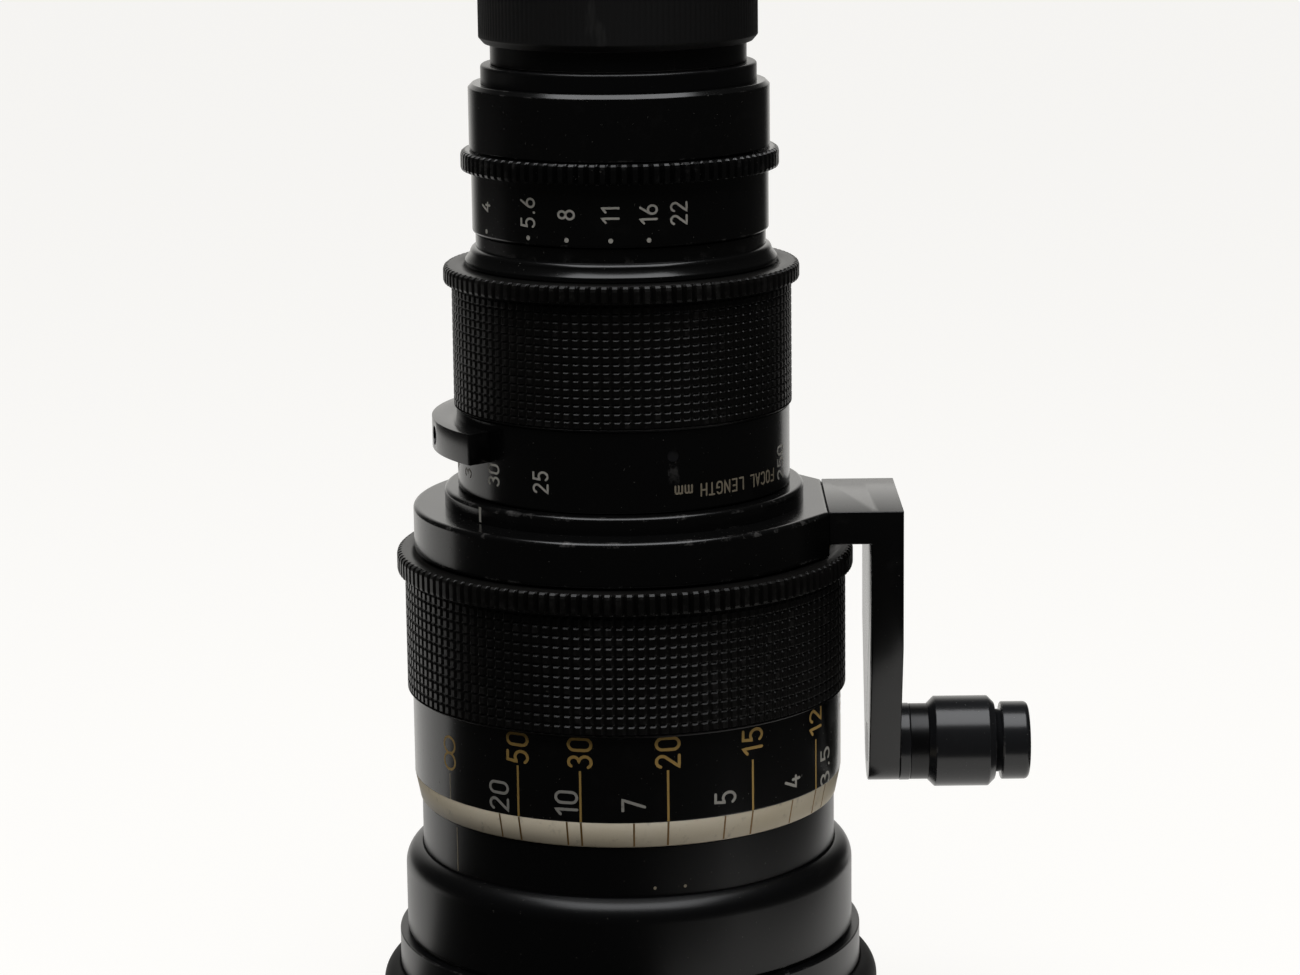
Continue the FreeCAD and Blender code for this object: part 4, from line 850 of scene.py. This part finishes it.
def front_end():
    """The cap the lens stands in, the filter ring and the collar above it."""
    cap_r = reach("front_cap")
    cap_top = top("front_cap")
    cap_floor = 3.0
    cap_round = 5.5
    ring_r = reach("filter_ring")
    ring_foot = foot("filter_ring")
    collar_foot = foot("front_collar")
    collar_top = top("front_collar")
    collar_r = reach("front_collar")
    collar_round = 5.8
    barrel_r = reach("front_barrel")
    barrel_foot = foot("front_barrel")
    bearing_r = barrel_r - 2.05
    spigot = collar_r - 3.0
    bore = ring_r + 0.25
    put(turned("front_cap_visual", [
        (0, 0), (cap_r - 9, 0, 0.3), (cap_r - 9, 0.6, 0.3), (cap_r - 6, 0.6, 0.3), (cap_r - 6, 0, 0.4),
        (cap_r, 0, 1.4), (cap_r, 4.0, 0.2), (cap_r - 0.4, 4.3, 0.2), (cap_r - 0.4, 5.0, 0.2),
        (cap_r, 5.3, 0.2),
    ] + crown(cap_r, bore, cap_top, cap_round) + [
        (bore, ring_foot, 0.2), (bore - 2.4, ring_foot, 0.3), (bore - 2.4, cap_floor, 0.5), (0, cap_floor),
    ], 320), "cap_plastic", "barrel", "front_cap")
    put(turned("filter_ring_visual", [
        (bearing_r, ring_foot, 0.3), (ring_r, ring_foot, 0.4), (ring_r, collar_foot - 0.8, 0.35),
        (collar_r - 0.6, collar_foot - 0.8, 0.15), (collar_r - 0.6, collar_foot), (spigot, collar_foot, 0.1),
        (spigot, barrel_foot, 0.3), (bearing_r, barrel_foot, 0.3),
    ], 320), "satin_black", "barrel", "filter_ring")
    put(turned("front_collar_visual", [
        (spigot + 0.02, collar_foot, 0.1), (collar_r, collar_foot, 0.35),
    ] + crown(collar_r, barrel_r + 0.02, collar_top, collar_round) + [
        (barrel_r + 0.02, barrel_foot, 0.2), (spigot + 0.02, barrel_foot, 0.1),
    ], 320), "satin_black", "barrel", "front_collar")


# ---------------------------------------------------------------- the focus rings


def focus_rings():
    """The cream band, the scale ring and the knurled focus ring with its teeth."""
    band_foot = foot("focus_band")
    scale_foot = foot("focus_scale_ring")
    ring_foot = foot("focus_ring")
    plain_top = ring_foot + 2.2
    scale_r = reach("focus_scale_ring")
    band_r = scale_r - BAND_LEAN
    band_bore = band_r - 1.2
    band_top = scale_foot - 0.02
    bore = reach("focus_sleeve") + 0.02
    put(turned("focus_band_visual", [
        (band_bore, band_foot, 0.1), (band_r, band_foot, 0.25), (scale_r, band_top), (band_bore, band_top),
    ], 320), "cream_paint", "focus_body", "focus_band")
    put(turned("focus_scale_ring_visual", [
        (bore, scale_foot, 0.1), (scale_r, scale_foot, 0.2), (scale_r, plain_top, 0.05),
        (bore, plain_top, 0.05),
    ], 320), "gloss_black", "focus_body", "focus_scale_ring")
    ring_top = top("focus_ring")
    tip = reach("focus_ring")
    gear_foot = ring_top - 5.4
    knurl_r = tip - 1.9
    low = rounded([(bore, plain_top + 0.02), (scale_r, plain_top + 0.02), (knurl_r, ring_foot + 3.0)], 3)
    high = rounded([(tip - 2.3, ring_top), (bore, ring_top)], 3)
    pads = (ring_foot + 3.1, gear_foot - 0.7, knurl_r, 0.42, 12)
    depth = 1.15
    gear = [
        (knurl_r - 0.5, gear_foot + 0.02, 0.0, 0.0), (tip - 0.7, gear_foot + 0.04, 0.35, 0.3),
        (tip - 0.15, gear_foot + 0.3, 0.8, 0.9), (tip, gear_foot + 0.9, depth, 1.0),
    ] + tooth_tops(tip, ring_top, depth, 0.95, 1.6)
    teeth = 134
    ring = cut_ring("focus_ring_visual", low, high, pads, gear, teeth)
    put(ring, "knurl_black", "focus_body", "focus_ring")


# ---------------------------------------------------------------- the support collar, arm and stud


def slab(name, rings):
    """A closed solid through rings of as many points each, (n, 3) arrays, capped flat at its ends."""
    count = len(rings[0])
    grid = np.concatenate(rings)
    faces = ring_faces(len(rings), count, False).tolist()
    faces.append(list(range(count - 1, -1, -1)))
    last = (len(rings) - 1) * count
    faces.append(list(range(last, last + count)))
    return new_piece(name, grid, faces, False)


def with_bevel(piece, width):
    """The piece with its sharp edges rounded."""
    bpy.context.view_layer.update()
    change = piece.modifiers.new("bevel", "BEVEL")
    change.width = width * MM
    change.segments = 3
    change.limit_method = "ANGLE"
    change.angle_limit = radians(BEVEL_ANGLE)
    change.use_clamp_overlap = True
    change.harden_normals = False
    apply_all(piece)
    piece.data.polygons.foreach_set("use_smooth", [True] * len(piece.data.polygons))
    piece.data.set_sharp_from_angle(angle=radians(SHARP_ANGLE))
    return piece


def apply_all(piece):
    """The piece's modifiers made part of its mesh."""
    evaluated = piece.evaluated_get(bpy.context.evaluated_depsgraph_get())
    mesh = bpy.data.meshes.new_from_object(evaluated)
    piece.modifiers.clear()
    piece.data = mesh
    return piece


def cut_by(piece, cutters, operation="DIFFERENCE"):
    """The piece less its cutters, or joined with them, and the cutters removed."""
    for cutter in cutters:
        change = piece.modifiers.new("cut", "BOOLEAN")
        change.operation = operation
        change.solver = "EXACT"
        change.object = cutter
    bpy.context.view_layer.update()
    apply_all(piece)
    for cutter in cutters:
        bpy.data.objects.remove(cutter)
    return piece


def hole(radius, start, end, sides=64):
    """A cutter for a round hole: a rod between two points, as a closed solid."""
    start = np.array(start, dtype=float)
    end = np.array(end, dtype=float)
    along = (end - start) / np.linalg.norm(end - start)
    side = np.cross(along, (0, 0, 1) if abs(along[2]) < 0.9 else (1, 0, 0))
    side = side / np.linalg.norm(side)
    other = np.cross(along, side)
    a = np.linspace(0, 2 * pi, sides, endpoint=False)[:, None]
    ring = radius * (np.cos(a) * side + np.sin(a) * other)
    return recalculated(slab("hole", [start + ring, end + ring]))


def edge_marks(piece, share=1.0):
    """Marks the points where faces meet at a slope, from zero on flats to one on sharp turns."""
    mesh = piece.data
    normals = np.zeros(len(mesh.polygons) * 3)
    mesh.polygons.foreach_get("normal", normals)
    normals = normals.reshape(-1, 3)
    loops = np.zeros(len(mesh.loops), dtype=int)
    mesh.loops.foreach_get("vertex_index", loops)
    sizes = np.zeros(len(mesh.polygons), dtype=int)
    mesh.polygons.foreach_get("loop_total", sizes)
    owner = np.repeat(np.arange(len(sizes)), sizes)
    total = np.zeros((len(mesh.vertices), 3))
    count = np.zeros(len(mesh.vertices))
    np.add.at(total, loops, normals[owner])
    np.add.at(count, loops, 1)
    spread = 1 - np.linalg.norm(total, axis=1) / np.maximum(count, 1)
    layer = mesh.attributes.get("edge") or mesh.attributes.new("edge", "FLOAT", "POINT")
    layer.data.foreach_set("value", np.clip(spread * 12 * share, 0, 1).astype(np.float32))
    return piece


def support_collar():
    """The wide ring with a flat pad for the arm: an outline at every bearing, less at its rounded edges."""
    low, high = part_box("support_collar")
    base = low.z / MM
    head = high.z / MM
    radius = -low.x / MM
    pad_x = high.x / MM
    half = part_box("support_arm")[1].y / MM
    corner = atan2(half, pad_x)
    away = np.arccos(radius / sqrt(half * half + pad_x * pad_x))
    touch = corner + away
    count = 360
    a = np.linspace(-pi, pi, count, endpoint=False)
    size = np.abs(a)
    pad = pad_x / np.cos(np.minimum(size, corner))
    line = radius / np.cos(np.clip(touch - size, 0, touch))
    outline = np.where(size <= corner, pad, np.where(size < touch, line, radius))
    # The bearings nearest to the pad's two corners move on to them
    for side in (-1, 1):
        near = int(np.argmin(np.abs(a - side * corner)))
        a[near] = side * corner
        outline[near] = pad_x / cos(corner)

    def at(inset, z):
        r = outline - inset
        return np.stack([r * np.cos(a), r * np.sin(a), np.full(count, z)], -1)

    def circle(r, z):
        return np.stack([r * np.cos(a), r * np.sin(a), np.full(count, z)], -1)

    spigot = 48.02
    shoulder = base + 3.0
    inner = 40.02
    fillet = 1.1
    low_fillet = fillet * 0.6
    rings = [circle(spigot + 0.02, base), at(fillet + 0.12, base)]
    for step in range(6):
        t = step / 5 * pi / 2
        rings.append(at(low_fillet * (1 - sin(t)), base + low_fillet * (1 - cos(t))))
    rings.append(at(0, base + fillet + 0.1))
    rings.append(at(0, head - fillet - 0.1))
    for step in range(7):
        t = step / 6 * pi / 2
        rings.append(at(fillet * (1 - cos(t)), head - fillet * (1 - sin(t))))
    rings.append(at(fillet + 0.2, head))
    rings.append(circle(inner + 0.3, head))
    rings.append(circle(inner, head - 0.3))
    rings.append(circle(inner, shoulder))
    rings.append(circle(spigot, shoulder))
    marks = [0.0, 0.1] + [1.0] * 6 + [0.1, 0.1] + [1.0] * 7 + [0.1, 0.1, 0.3, 0.0, 0.0]
    faces = ring_faces(len(rings), count, True)
    piece = new_piece("support_collar_visual", np.concatenate(rings), faces, True, np.repeat(marks, count))
    piece.data.set_sharp_from_angle(angle=radians(SHARP_ANGLE))
    put(piece, "gloss_black", "barrel", "support_collar")


def arm():
    """The angle that carries the stud: a leg on the collar's pad and a plate that tapers to a round end."""
    low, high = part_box("support_arm")
    pad_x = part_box("support_collar")[1].x / MM
    outer = high.x / MM
    half = high.y / MM
    head = high.z / MM
    inner = outer - 7.9
    leg_foot = head - 8.2
    stud_z = middle("stud_sleeve")
    end_r = stud_z - low.z / MM
    taper = head - 35.4
    run = taper - stud_z
    touch = atan2(half, run) + np.arccos(end_r / sqrt(half * half + run * run))
    t = np.linspace(touch, 2 * pi - touch, 33)
    round_end = [(end_r * sin(v), stud_z + end_r * cos(v)) for v in t]
    outline = [(-half, head), (half, head), (half, taper)] + round_end + [(-half, taper)]
    rings = [np.array([(x, y, z) for y, z in outline]) for x in (inner, outer)]
    plate = recalculated(slab("support_arm_visual", rings))
    section = ((-half, leg_foot), (half, leg_foot), (half, head), (-half, head))
    leg = [np.array([(x, y, z) for y, z in section]) for x in (pad_x, inner + 2.0)]
    cut_by(plate, [recalculated(slab("leg", leg))], "UNION")
    screw_z = head - 4.2
    holes = [hole(3.5, (outer - 4.4, y, screw_z), (outer + 1, y, screw_z)) for y in (-12, 12)]
    holes.append(hole(5.0, (inner - 1, 0, stud_z), (outer + 1, 0, stud_z)))
    cut_by(plate, holes)
    with_bevel(plate, 0.55)
    edge_marks(plate)
    put(plate, "gloss_black", "barrel", "support_arm")


def stud():
    """The turned stud: a washer, the sleeve that turns, and an end cap with a neck behind it."""
    def span(node):
        low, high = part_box(node)
        return low.x / MM, high.x / MM, (high.y - low.y) / 2 / MM

    level = middle("stud_sleeve")
    bore = 5.02
    start, end, r = span("stud_washer")
    piece = turned("stud_washer_visual", [(bore, start), (r, start, 0.3), (r, end, 0.5), (bore, end)], 160)
    put(laid_along_x(piece, level), "stud_black", "barrel", "stud_washer")
    start, end, r = span("stud_sleeve")
    bore = 6.55
    slope = 1.7
    piece = turned("stud_sleeve_visual", [
        (bore, start, 0.2), (r - slope, start, 0.25), (r, start + slope, 0.5), (r, end - slope, 0.5),
        (r - slope, end, 0.25), (bore, end, 0.2),
    ], 200)
    put(laid_along_x(piece, level), "stud_black", "sleeve_body", "stud_sleeve")
    start, end, r = span("stud_end_cap")
    neck_r = 8.0
    neck_end = start + 1.5
    dish = end - 0.35
    piece = turned("stud_end_cap_visual", [
        (0, start), (neck_r, start), (neck_r, neck_end), (r, neck_end, 0.5), (r, end, 1.3),
        (r - 3.2, end, 0.2), (r - 3.6, dish, 0.2), (0, dish),
    ], 200, 6)
    put(laid_along_x(piece, level), "stud_black", "barrel", "stud_end_cap")


# ---------------------------------------------------------------- the zoom rings


def index_collar():
    """The small collar that carries the zoom index."""
    r = reach("index_collar")
    low = foot("index_collar")
    high = top("index_collar")
    seat = top("support_collar")
    bore = 36.0
    spigot = 40.0
    put(turned("index_collar_visual", [
        (bore, low), (spigot, low), (spigot, seat), (r, seat, 0.1), (r, high, 1.0), (bore, high, 0.2),
    ], 300, 5), "gloss_black", "barrel", "index_collar")


def bearing_point(r, bearing, z):
    """The point at a radius, a bearing in degrees and a height."""
    a = radians(bearing)
    return np.array((r * sin(a), -r * cos(a), z))


def radial_hole(radius, inner, outer, bearing, level):
    """A cutter for a round hole along a radius of the lens."""
    return hole(radius, bearing_point(inner, bearing, level), bearing_point(outer, bearing, level), 48)


def sector(name, corners, start, end, steps):
    """A closed solid: an outline of (radius, height) corners carried round from one bearing to another."""
    rings = [np.array([bearing_point(r, b, z) for r, z in corners]) for b in np.linspace(start, end, steps)]
    return recalculated(slab(name, rings))


def lug():
    """The lug for the zoom lever: a part of a ring with a socket and the holes for two screws."""
    inner = reach("zoom_scale_ring")
    low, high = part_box("zoom_lug")
    base = low.z / MM
    head = high.z / MM
    outer = 47.8
    level = (base + head) / 2
    bearing = -96
    corners = [(inner, base), (outer, base), (outer, head), (inner, head)]
    piece = sector("zoom_lug_visual", corners, bearing - 45, bearing + 45, 73)
    cutters = [radial_hole(2.5, outer - 6, outer + 3, bearing, level)]
    cutters += [radial_hole(2.4, outer - 3.5, outer + 3, bearing + s, level) for s in (-18, 18)]
    cut_by(piece, cutters)
    with_bevel(piece, 0.5)
    edge_marks(piece)
    put(piece, "gloss_black", "zoom_body", "zoom_lug")


def zoom_rings():
    """The smooth zoom scale ring with its set screw holes, and the knurled ring with its teeth."""
    r = reach("zoom_scale_ring")
    low = foot("zoom_scale_ring")
    high = top("zoom_scale_ring")
    bore = 38.0
    level = middle("zoom_lug")
    scale = turned("zoom_scale_ring_visual", [
        (bore, low, 0.2), (r, low, 0.35), (r, high, 0.1), (bore, high, 0.1),
    ], 300)
    cut_by(scale, [radial_hole(1.5, r - 4, r + 2, b, level) for b in (17, 107, 197)])
    scale.data.set_sharp_from_angle(angle=radians(SHARP_ANGLE))
    edge_marks(scale)
    put(scale, "gloss_black", "zoom_body", "zoom_scale_ring")
    ring_top = top("zoom_ring")
    ring_foot = foot("zoom_ring")
    tip = reach("zoom_ring")
    gear_foot = ring_top - 4.4
    knurl_r = tip - 2.0
    low = rounded([
        (bore, ring_foot + 0.02, 0.1), (knurl_r - 0.7, ring_foot + 0.02, 0.1),
        (knurl_r, ring_foot + 0.6, 0.2), (knurl_r, ring_foot + 0.7),
    ], 3)
    high = rounded([(tip - 2.6, ring_top), (bore, ring_top)], 3)
    pads = (ring_foot + 0.75, gear_foot - 0.55, knurl_r, 0.38, 15)
    depth = 1.15
    gear = [
        (knurl_r - 0.45, gear_foot + 0.02, 0.0, 0.0), (tip - 0.9, gear_foot + 0.04, 0.3, 0.3),
        (tip - 0.2, gear_foot + 0.25, 0.8, 0.9), (tip, gear_foot + 0.8, depth, 1.0),
    ] + tooth_tops(tip, ring_top, depth, 0.95, 1.7)
    teeth = 107
    ring = cut_ring("zoom_ring_visual", low, high, pads, gear, teeth)
    put(ring, "knurl_black", "zoom_body", "zoom_ring")


# ---------------------------------------------------------------- the rear end


def iris_rings():
    """The aperture ring and its toothed ring."""
    low = foot("iris_ring")
    high = top("iris_ring")
    r = reach("iris_ring")
    bore = 33.05
    put(turned("iris_ring_visual", [
        (bore, low, 0.2), (r, low, 0.6), (r, high, 0.05), (bore, high, 0.05),
    ], 300), "gloss_black", "iris_body", "iris_ring")
    tip = reach("iris_gear")
    gear_top = top("iris_gear")
    depth = 1.1
    teeth = 95
    angle, column = repeated(teeth, TOOTH_SHARE, TOOTH_WAVE)
    rows = [
        (bore, gear_top, 0.0, 0.0), (bore, high + 0.02, 0.0, 0.0), (tip - 1.9, high + 0.02, 0.0, 0.2),
        (tip - 0.8, high + 0.04, 0.4, 0.5), (tip - 0.2, high + 0.3, 0.8, 0.9), (tip, high + 0.9, depth, 1.0),
    ] + tooth_tops(tip, gear_top, depth, 0.9, 1.7)
    grid = np.concatenate([about_axis(r - cut * (1 - column), angle, z) for r, z, cut, mark in rows])
    marks = np.concatenate([tooth_marks(mark, column) for r, z, cut, mark in rows])
    piece = new_piece("iris_gear_visual", grid, ring_faces(len(rows), len(angle), True), False, marks)
    put(piece, "gloss_black", "iris_body", "iris_gear")


def relay_barrel():
    """The fixed rear barrel: a flare with a rolled lip and a groove, the tube under the aperture ring and the
    slot that the link pin runs in; and a black sleeve round the camera mount's neck."""
    low = foot("relay_barrel")
    high = top("relay_barrel")
    shelf = top("zoom_ring") + 0.3
    seat = foot("iris_ring") - 0.3
    lip = seat - 3.3
    flare = reach("relay_barrel")
    seat_r = 37.95
    lip_r = 37.4
    groove_r = 35.95
    tube_r = 33.0
    bore = 30.0
    step_bore = 29.52
    step = shelf + 4.0
    barrel = turned("relay_barrel_visual", [
        (step_bore, low, 0.1), (seat_r, low, 0.3), (seat_r, shelf, 0.1), (flare, shelf, 0.1),
        (flare, shelf + 1.0, 0.4),
    ] + crown(lip_r, groove_r, lip, 1.6, 8) + [
        (groove_r, seat, 0.1), (tube_r, seat, 0.1), (tube_r, high, 0.1), (bore, high, 0.1), (bore, step, 0.1),
        (step_bore, step, 0.1),
    ], 300)
    level = (foot("iris_ring") + top("iris_ring")) / 2
    half_slot = 1.6
    slot_low = level - half_slot
    slot_high = level + half_slot
    corners = [(29, slot_low), (34, slot_low), (34, slot_high), (29, slot_high)]
    cut_by(barrel, [sector("slot", corners, 116.0, 216.4, 60)])
    barrel.data.set_sharp_from_angle(angle=radians(SHARP_ANGLE))
    edge_marks(barrel, 0.2)
    put(barrel, "gloss_black", "barrel", "relay_barrel")
    inner = 31.25
    outer = 31.5
    start = top("mount_flange") + 0.3
    end = top("mount_flange") + 4.9
    put(turned("mount_neck_sleeve", [
        (inner, start, 0.05), (outer, start, 0.05), (outer, end, 0.05), (inner, end, 0.05),
    ], 240), "satin_black", "barrel")


def rear_end():
    """The rear ring, the mount flange with its screws and the ribbed rear cap."""
    low = foot("rear_ring")
    high = top("rear_ring")
    r = reach("rear_ring")
    bore = 33.02
    put(turned("rear_ring_visual", [
        (bore, low, 0.2), (r, low, 0.35), (r, high - 1.0, 0.25), (r - 1.0, high, 0.25), (bore, high, 0.1),
    ], 300), "gloss_black", "barrel", "rear_ring")
    flange_r = reach("mount_flange")
    flange_top = top("mount_flange")
    bore = 22.0
    flange = turned("mount_flange_visual", [
        (bore, high), (flange_r, high + 0.01, 0.1), (flange_r, flange_top, 0.7), (bore, flange_top, 0.2),
    ], 300)
    screw_circle = 32.1
    holes = []
    for bearing in range(45, 360, 90):
        bottom = bearing_point(screw_circle, bearing, flange_top - 1.3)
        holes.append(hole(1.1, bottom, bearing_point(screw_circle, bearing, flange_top + 1)))
    cut_by(flange, holes)
    flange.data.set_sharp_from_angle(angle=radians(SHARP_ANGLE))
    edge_marks(flange)
    put(flange, "satin_black", "barrel", "mount_flange")
    cap_r = reach("rear_cap")
    cap_foot = foot("rear_cap")
    cap_top = top("rear_cap")
    bore = 32.05
    roof = cap_top - 3.0
    near_axis = 0.01
    points, marks = rounded([
        (bore, cap_foot, 0.2), (cap_r - 1.3, cap_foot, 0.3), (cap_r, cap_foot + 1.5, 0.5),
        (cap_r, cap_foot + 3.0), (cap_r, roof), (cap_r, cap_top, 1.8), (cap_r - 4.2, cap_top, 0.3),
        (cap_r - 4.6, cap_top - 0.5, 0.3), (near_axis, cap_top - 0.5), (near_axis, roof), (bore, roof, 0.5),
    ], 5)
    ribs = 150
    rib_depth = 0.16
    angle, column = repeated(ribs, RIB_SHARE, RIB_WAVE)
    r = points[:, 0]
    z = points[:, 1]
    ribbed = (z > cap_foot + 2.6) & (z < cap_top - 2.6) & (r > cap_r - 0.1)
    grid = about_axis(r[:, None] - rib_depth * ribbed[:, None] * column, angle, z[:, None]).reshape(-1, 3)
    faces = ring_faces(len(points), len(angle), True)
    cap = new_piece("rear_cap_visual", grid, faces, True, np.repeat(marks, len(angle)))
    put(cap, "cap_plastic", "rear_cap_body", "rear_cap")


# ---------------------------------------------------------------- scales


def wall_of(node):
    """The radius of a straight wall at any height."""
    r = reach(node)
    return lambda z: np.full_like(z, r)


def sign(name, text, height, width, wall, bearing, level, fill, body, turn=90.0):
    """Engraved signs on a wall, turned in the wall's plane and bent round it."""
    piece = engraved(name, text, height, width)
    piece.data.transform(Matrix.Rotation(radians(turn), 4, "Z"))
    put(wrapped(piece, wall, bearing, level), "gloss_black", body, finish=fill)


def iris_scale():
    """Aperture numbers, with a dot under each but the last."""
    wall = wall_of("iris_ring")
    level = foot("iris_ring") + 7.9
    for text, bearing in APERTURES:
        name = "aperture_" + text.replace(".", "_")
        sign(name, text, 4.0, 0.55, wall, bearing, level, WHITE_FILL, "iris_body")
        if text != UNDOTTED:
            dot = wrapped(engraved(name + "_dot", ".", 1.0, 1.15), wall, bearing, level - 5.6)
            put(dot, "gloss_black", "iris_body", finish=WHITE_FILL)


def zoom_scale():
    """Focal lengths round the zoom scale ring, spaced by their logarithm, and a line of small print."""
    wall = wall_of("zoom_scale_ring")
    level = foot("zoom_scale_ring") + 7.0
    for focal in (25, 30, 35, 40, 50, 60, 75, 100, 120, 150, 200, 250):
        bearing = SHORTEST_BEARING - TENFOLD_TURN * np.log10(focal / SHORTEST_FOCAL)
        sign(f"focal_{focal}", str(focal), 3.9, 0.55, wall, bearing, level, WHITE_FILL, "zoom_body")
    sign("focal_print", "FOCAL LENGTH mm", 2.9, 0.42, wall, 40.0, level - 2.2, GREY_FILL, "zoom_body", 180.0)


def focus_scale():
    """Feet in gold, with lines up the scale and down the cream band, and metres in white with lines down
    the band alone."""
    wall = wall_of("focus_scale_ring")
    ring_low = foot("focus_scale_ring")
    ring_high = top("focus_scale_ring")
    band_low = foot("focus_band")
    scale_r = reach("focus_scale_ring")

    def band(z):
        return scale_r - BAND_LEAN * np.clip((ring_low - z) / (ring_low - band_low), 0, 1)

    def bearing_of(feet):
        return FAR_BEARING + FOCUS_RATE / (feet - FOCUS_OFFSET)

    def band_line(name, width, bearing):
        line = bar_mark(name + "_band", width, band_low + 0.3, ring_low - 0.05, band, bearing)
        put(line, "cream_paint", "focus_body", finish=BROWN_FILL)

    level = ring_high - 1.6
    sign("feet_far", "o", 8.6, 0.6, wall, FAR_BEARING, level - 5.4, GOLD_FILL, "focus_body")
    line = bar_mark("feet_far_line", 0.4, ring_low + 0.2, level - 10.6, wall, FAR_BEARING)
    put(line, "gloss_black", "focus_body", finish=GREY_FILL)
    for feet in (50, 30, 20, 15, 12, 10, 8, 7, 6):
        bearing = bearing_of(feet)
        name = f"feet_{feet}"
        sign(name, str(feet), 5.6, 0.75, wall, bearing, level, GOLD_FILL, "focus_body")
        line = bar_mark(name + "_line", 0.55, ring_low + 0.15, level - 4.4, wall, bearing)
        put(line, "gloss_black", "focus_body", finish=GOLD_FILL)
        band_line(name, 0.5, bearing)
    for metres in (20, 10, 7, 5, 4, 3.5, 3, 2.5, 2, 1.8):
        bearing = bearing_of(metres / METRES_IN_A_FOOT)
        name = "metres_" + str(metres).replace(".", "_")
        sign(name, str(metres), 5.3, 0.7, wall, bearing, ring_low + 4.5, PALE_FILL, "focus_body")
        band_line(name, 0.45, bearing)


def index_marks():
    """The zoom index on its collar, and the focus index on the fixed barrel with two dots away from it."""
    wall = wall_of("index_collar")
    low = top("support_collar")
    mark = bar_mark("zoom_index", 0.8, low + 0.3, low + 4.0, wall, ZOOM_INDEX)
    put(mark, "gloss_black", "barrel", finish=WHITE_FILL)
    wall = wall_of("front_barrel")
    base = top("front_collar")
    mark = bar_mark("focus_index", 0.4, base + 0.5, foot("focus_band") - 1.0, wall, FAR_BEARING)
    put(mark, "satin_black", "barrel", finish=GREY_FILL)
    for name, bearing in (("barrel_dot_a", 7.1), ("barrel_dot_b", 15.3)):
        dot = wrapped(engraved(name, ".", 0.8, 0.8), wall, bearing, base + 2.5)
        put(dot, "satin_black", "barrel", finish=GREY_FILL)


paint_nodes()
front_end()
focus_rings()
support_collar()
arm()
stud()
index_collar()
lug()
zoom_rings()
iris_rings()
relay_barrel()
rear_end()
iris_scale()
zoom_scale()
focus_scale()
index_marks()
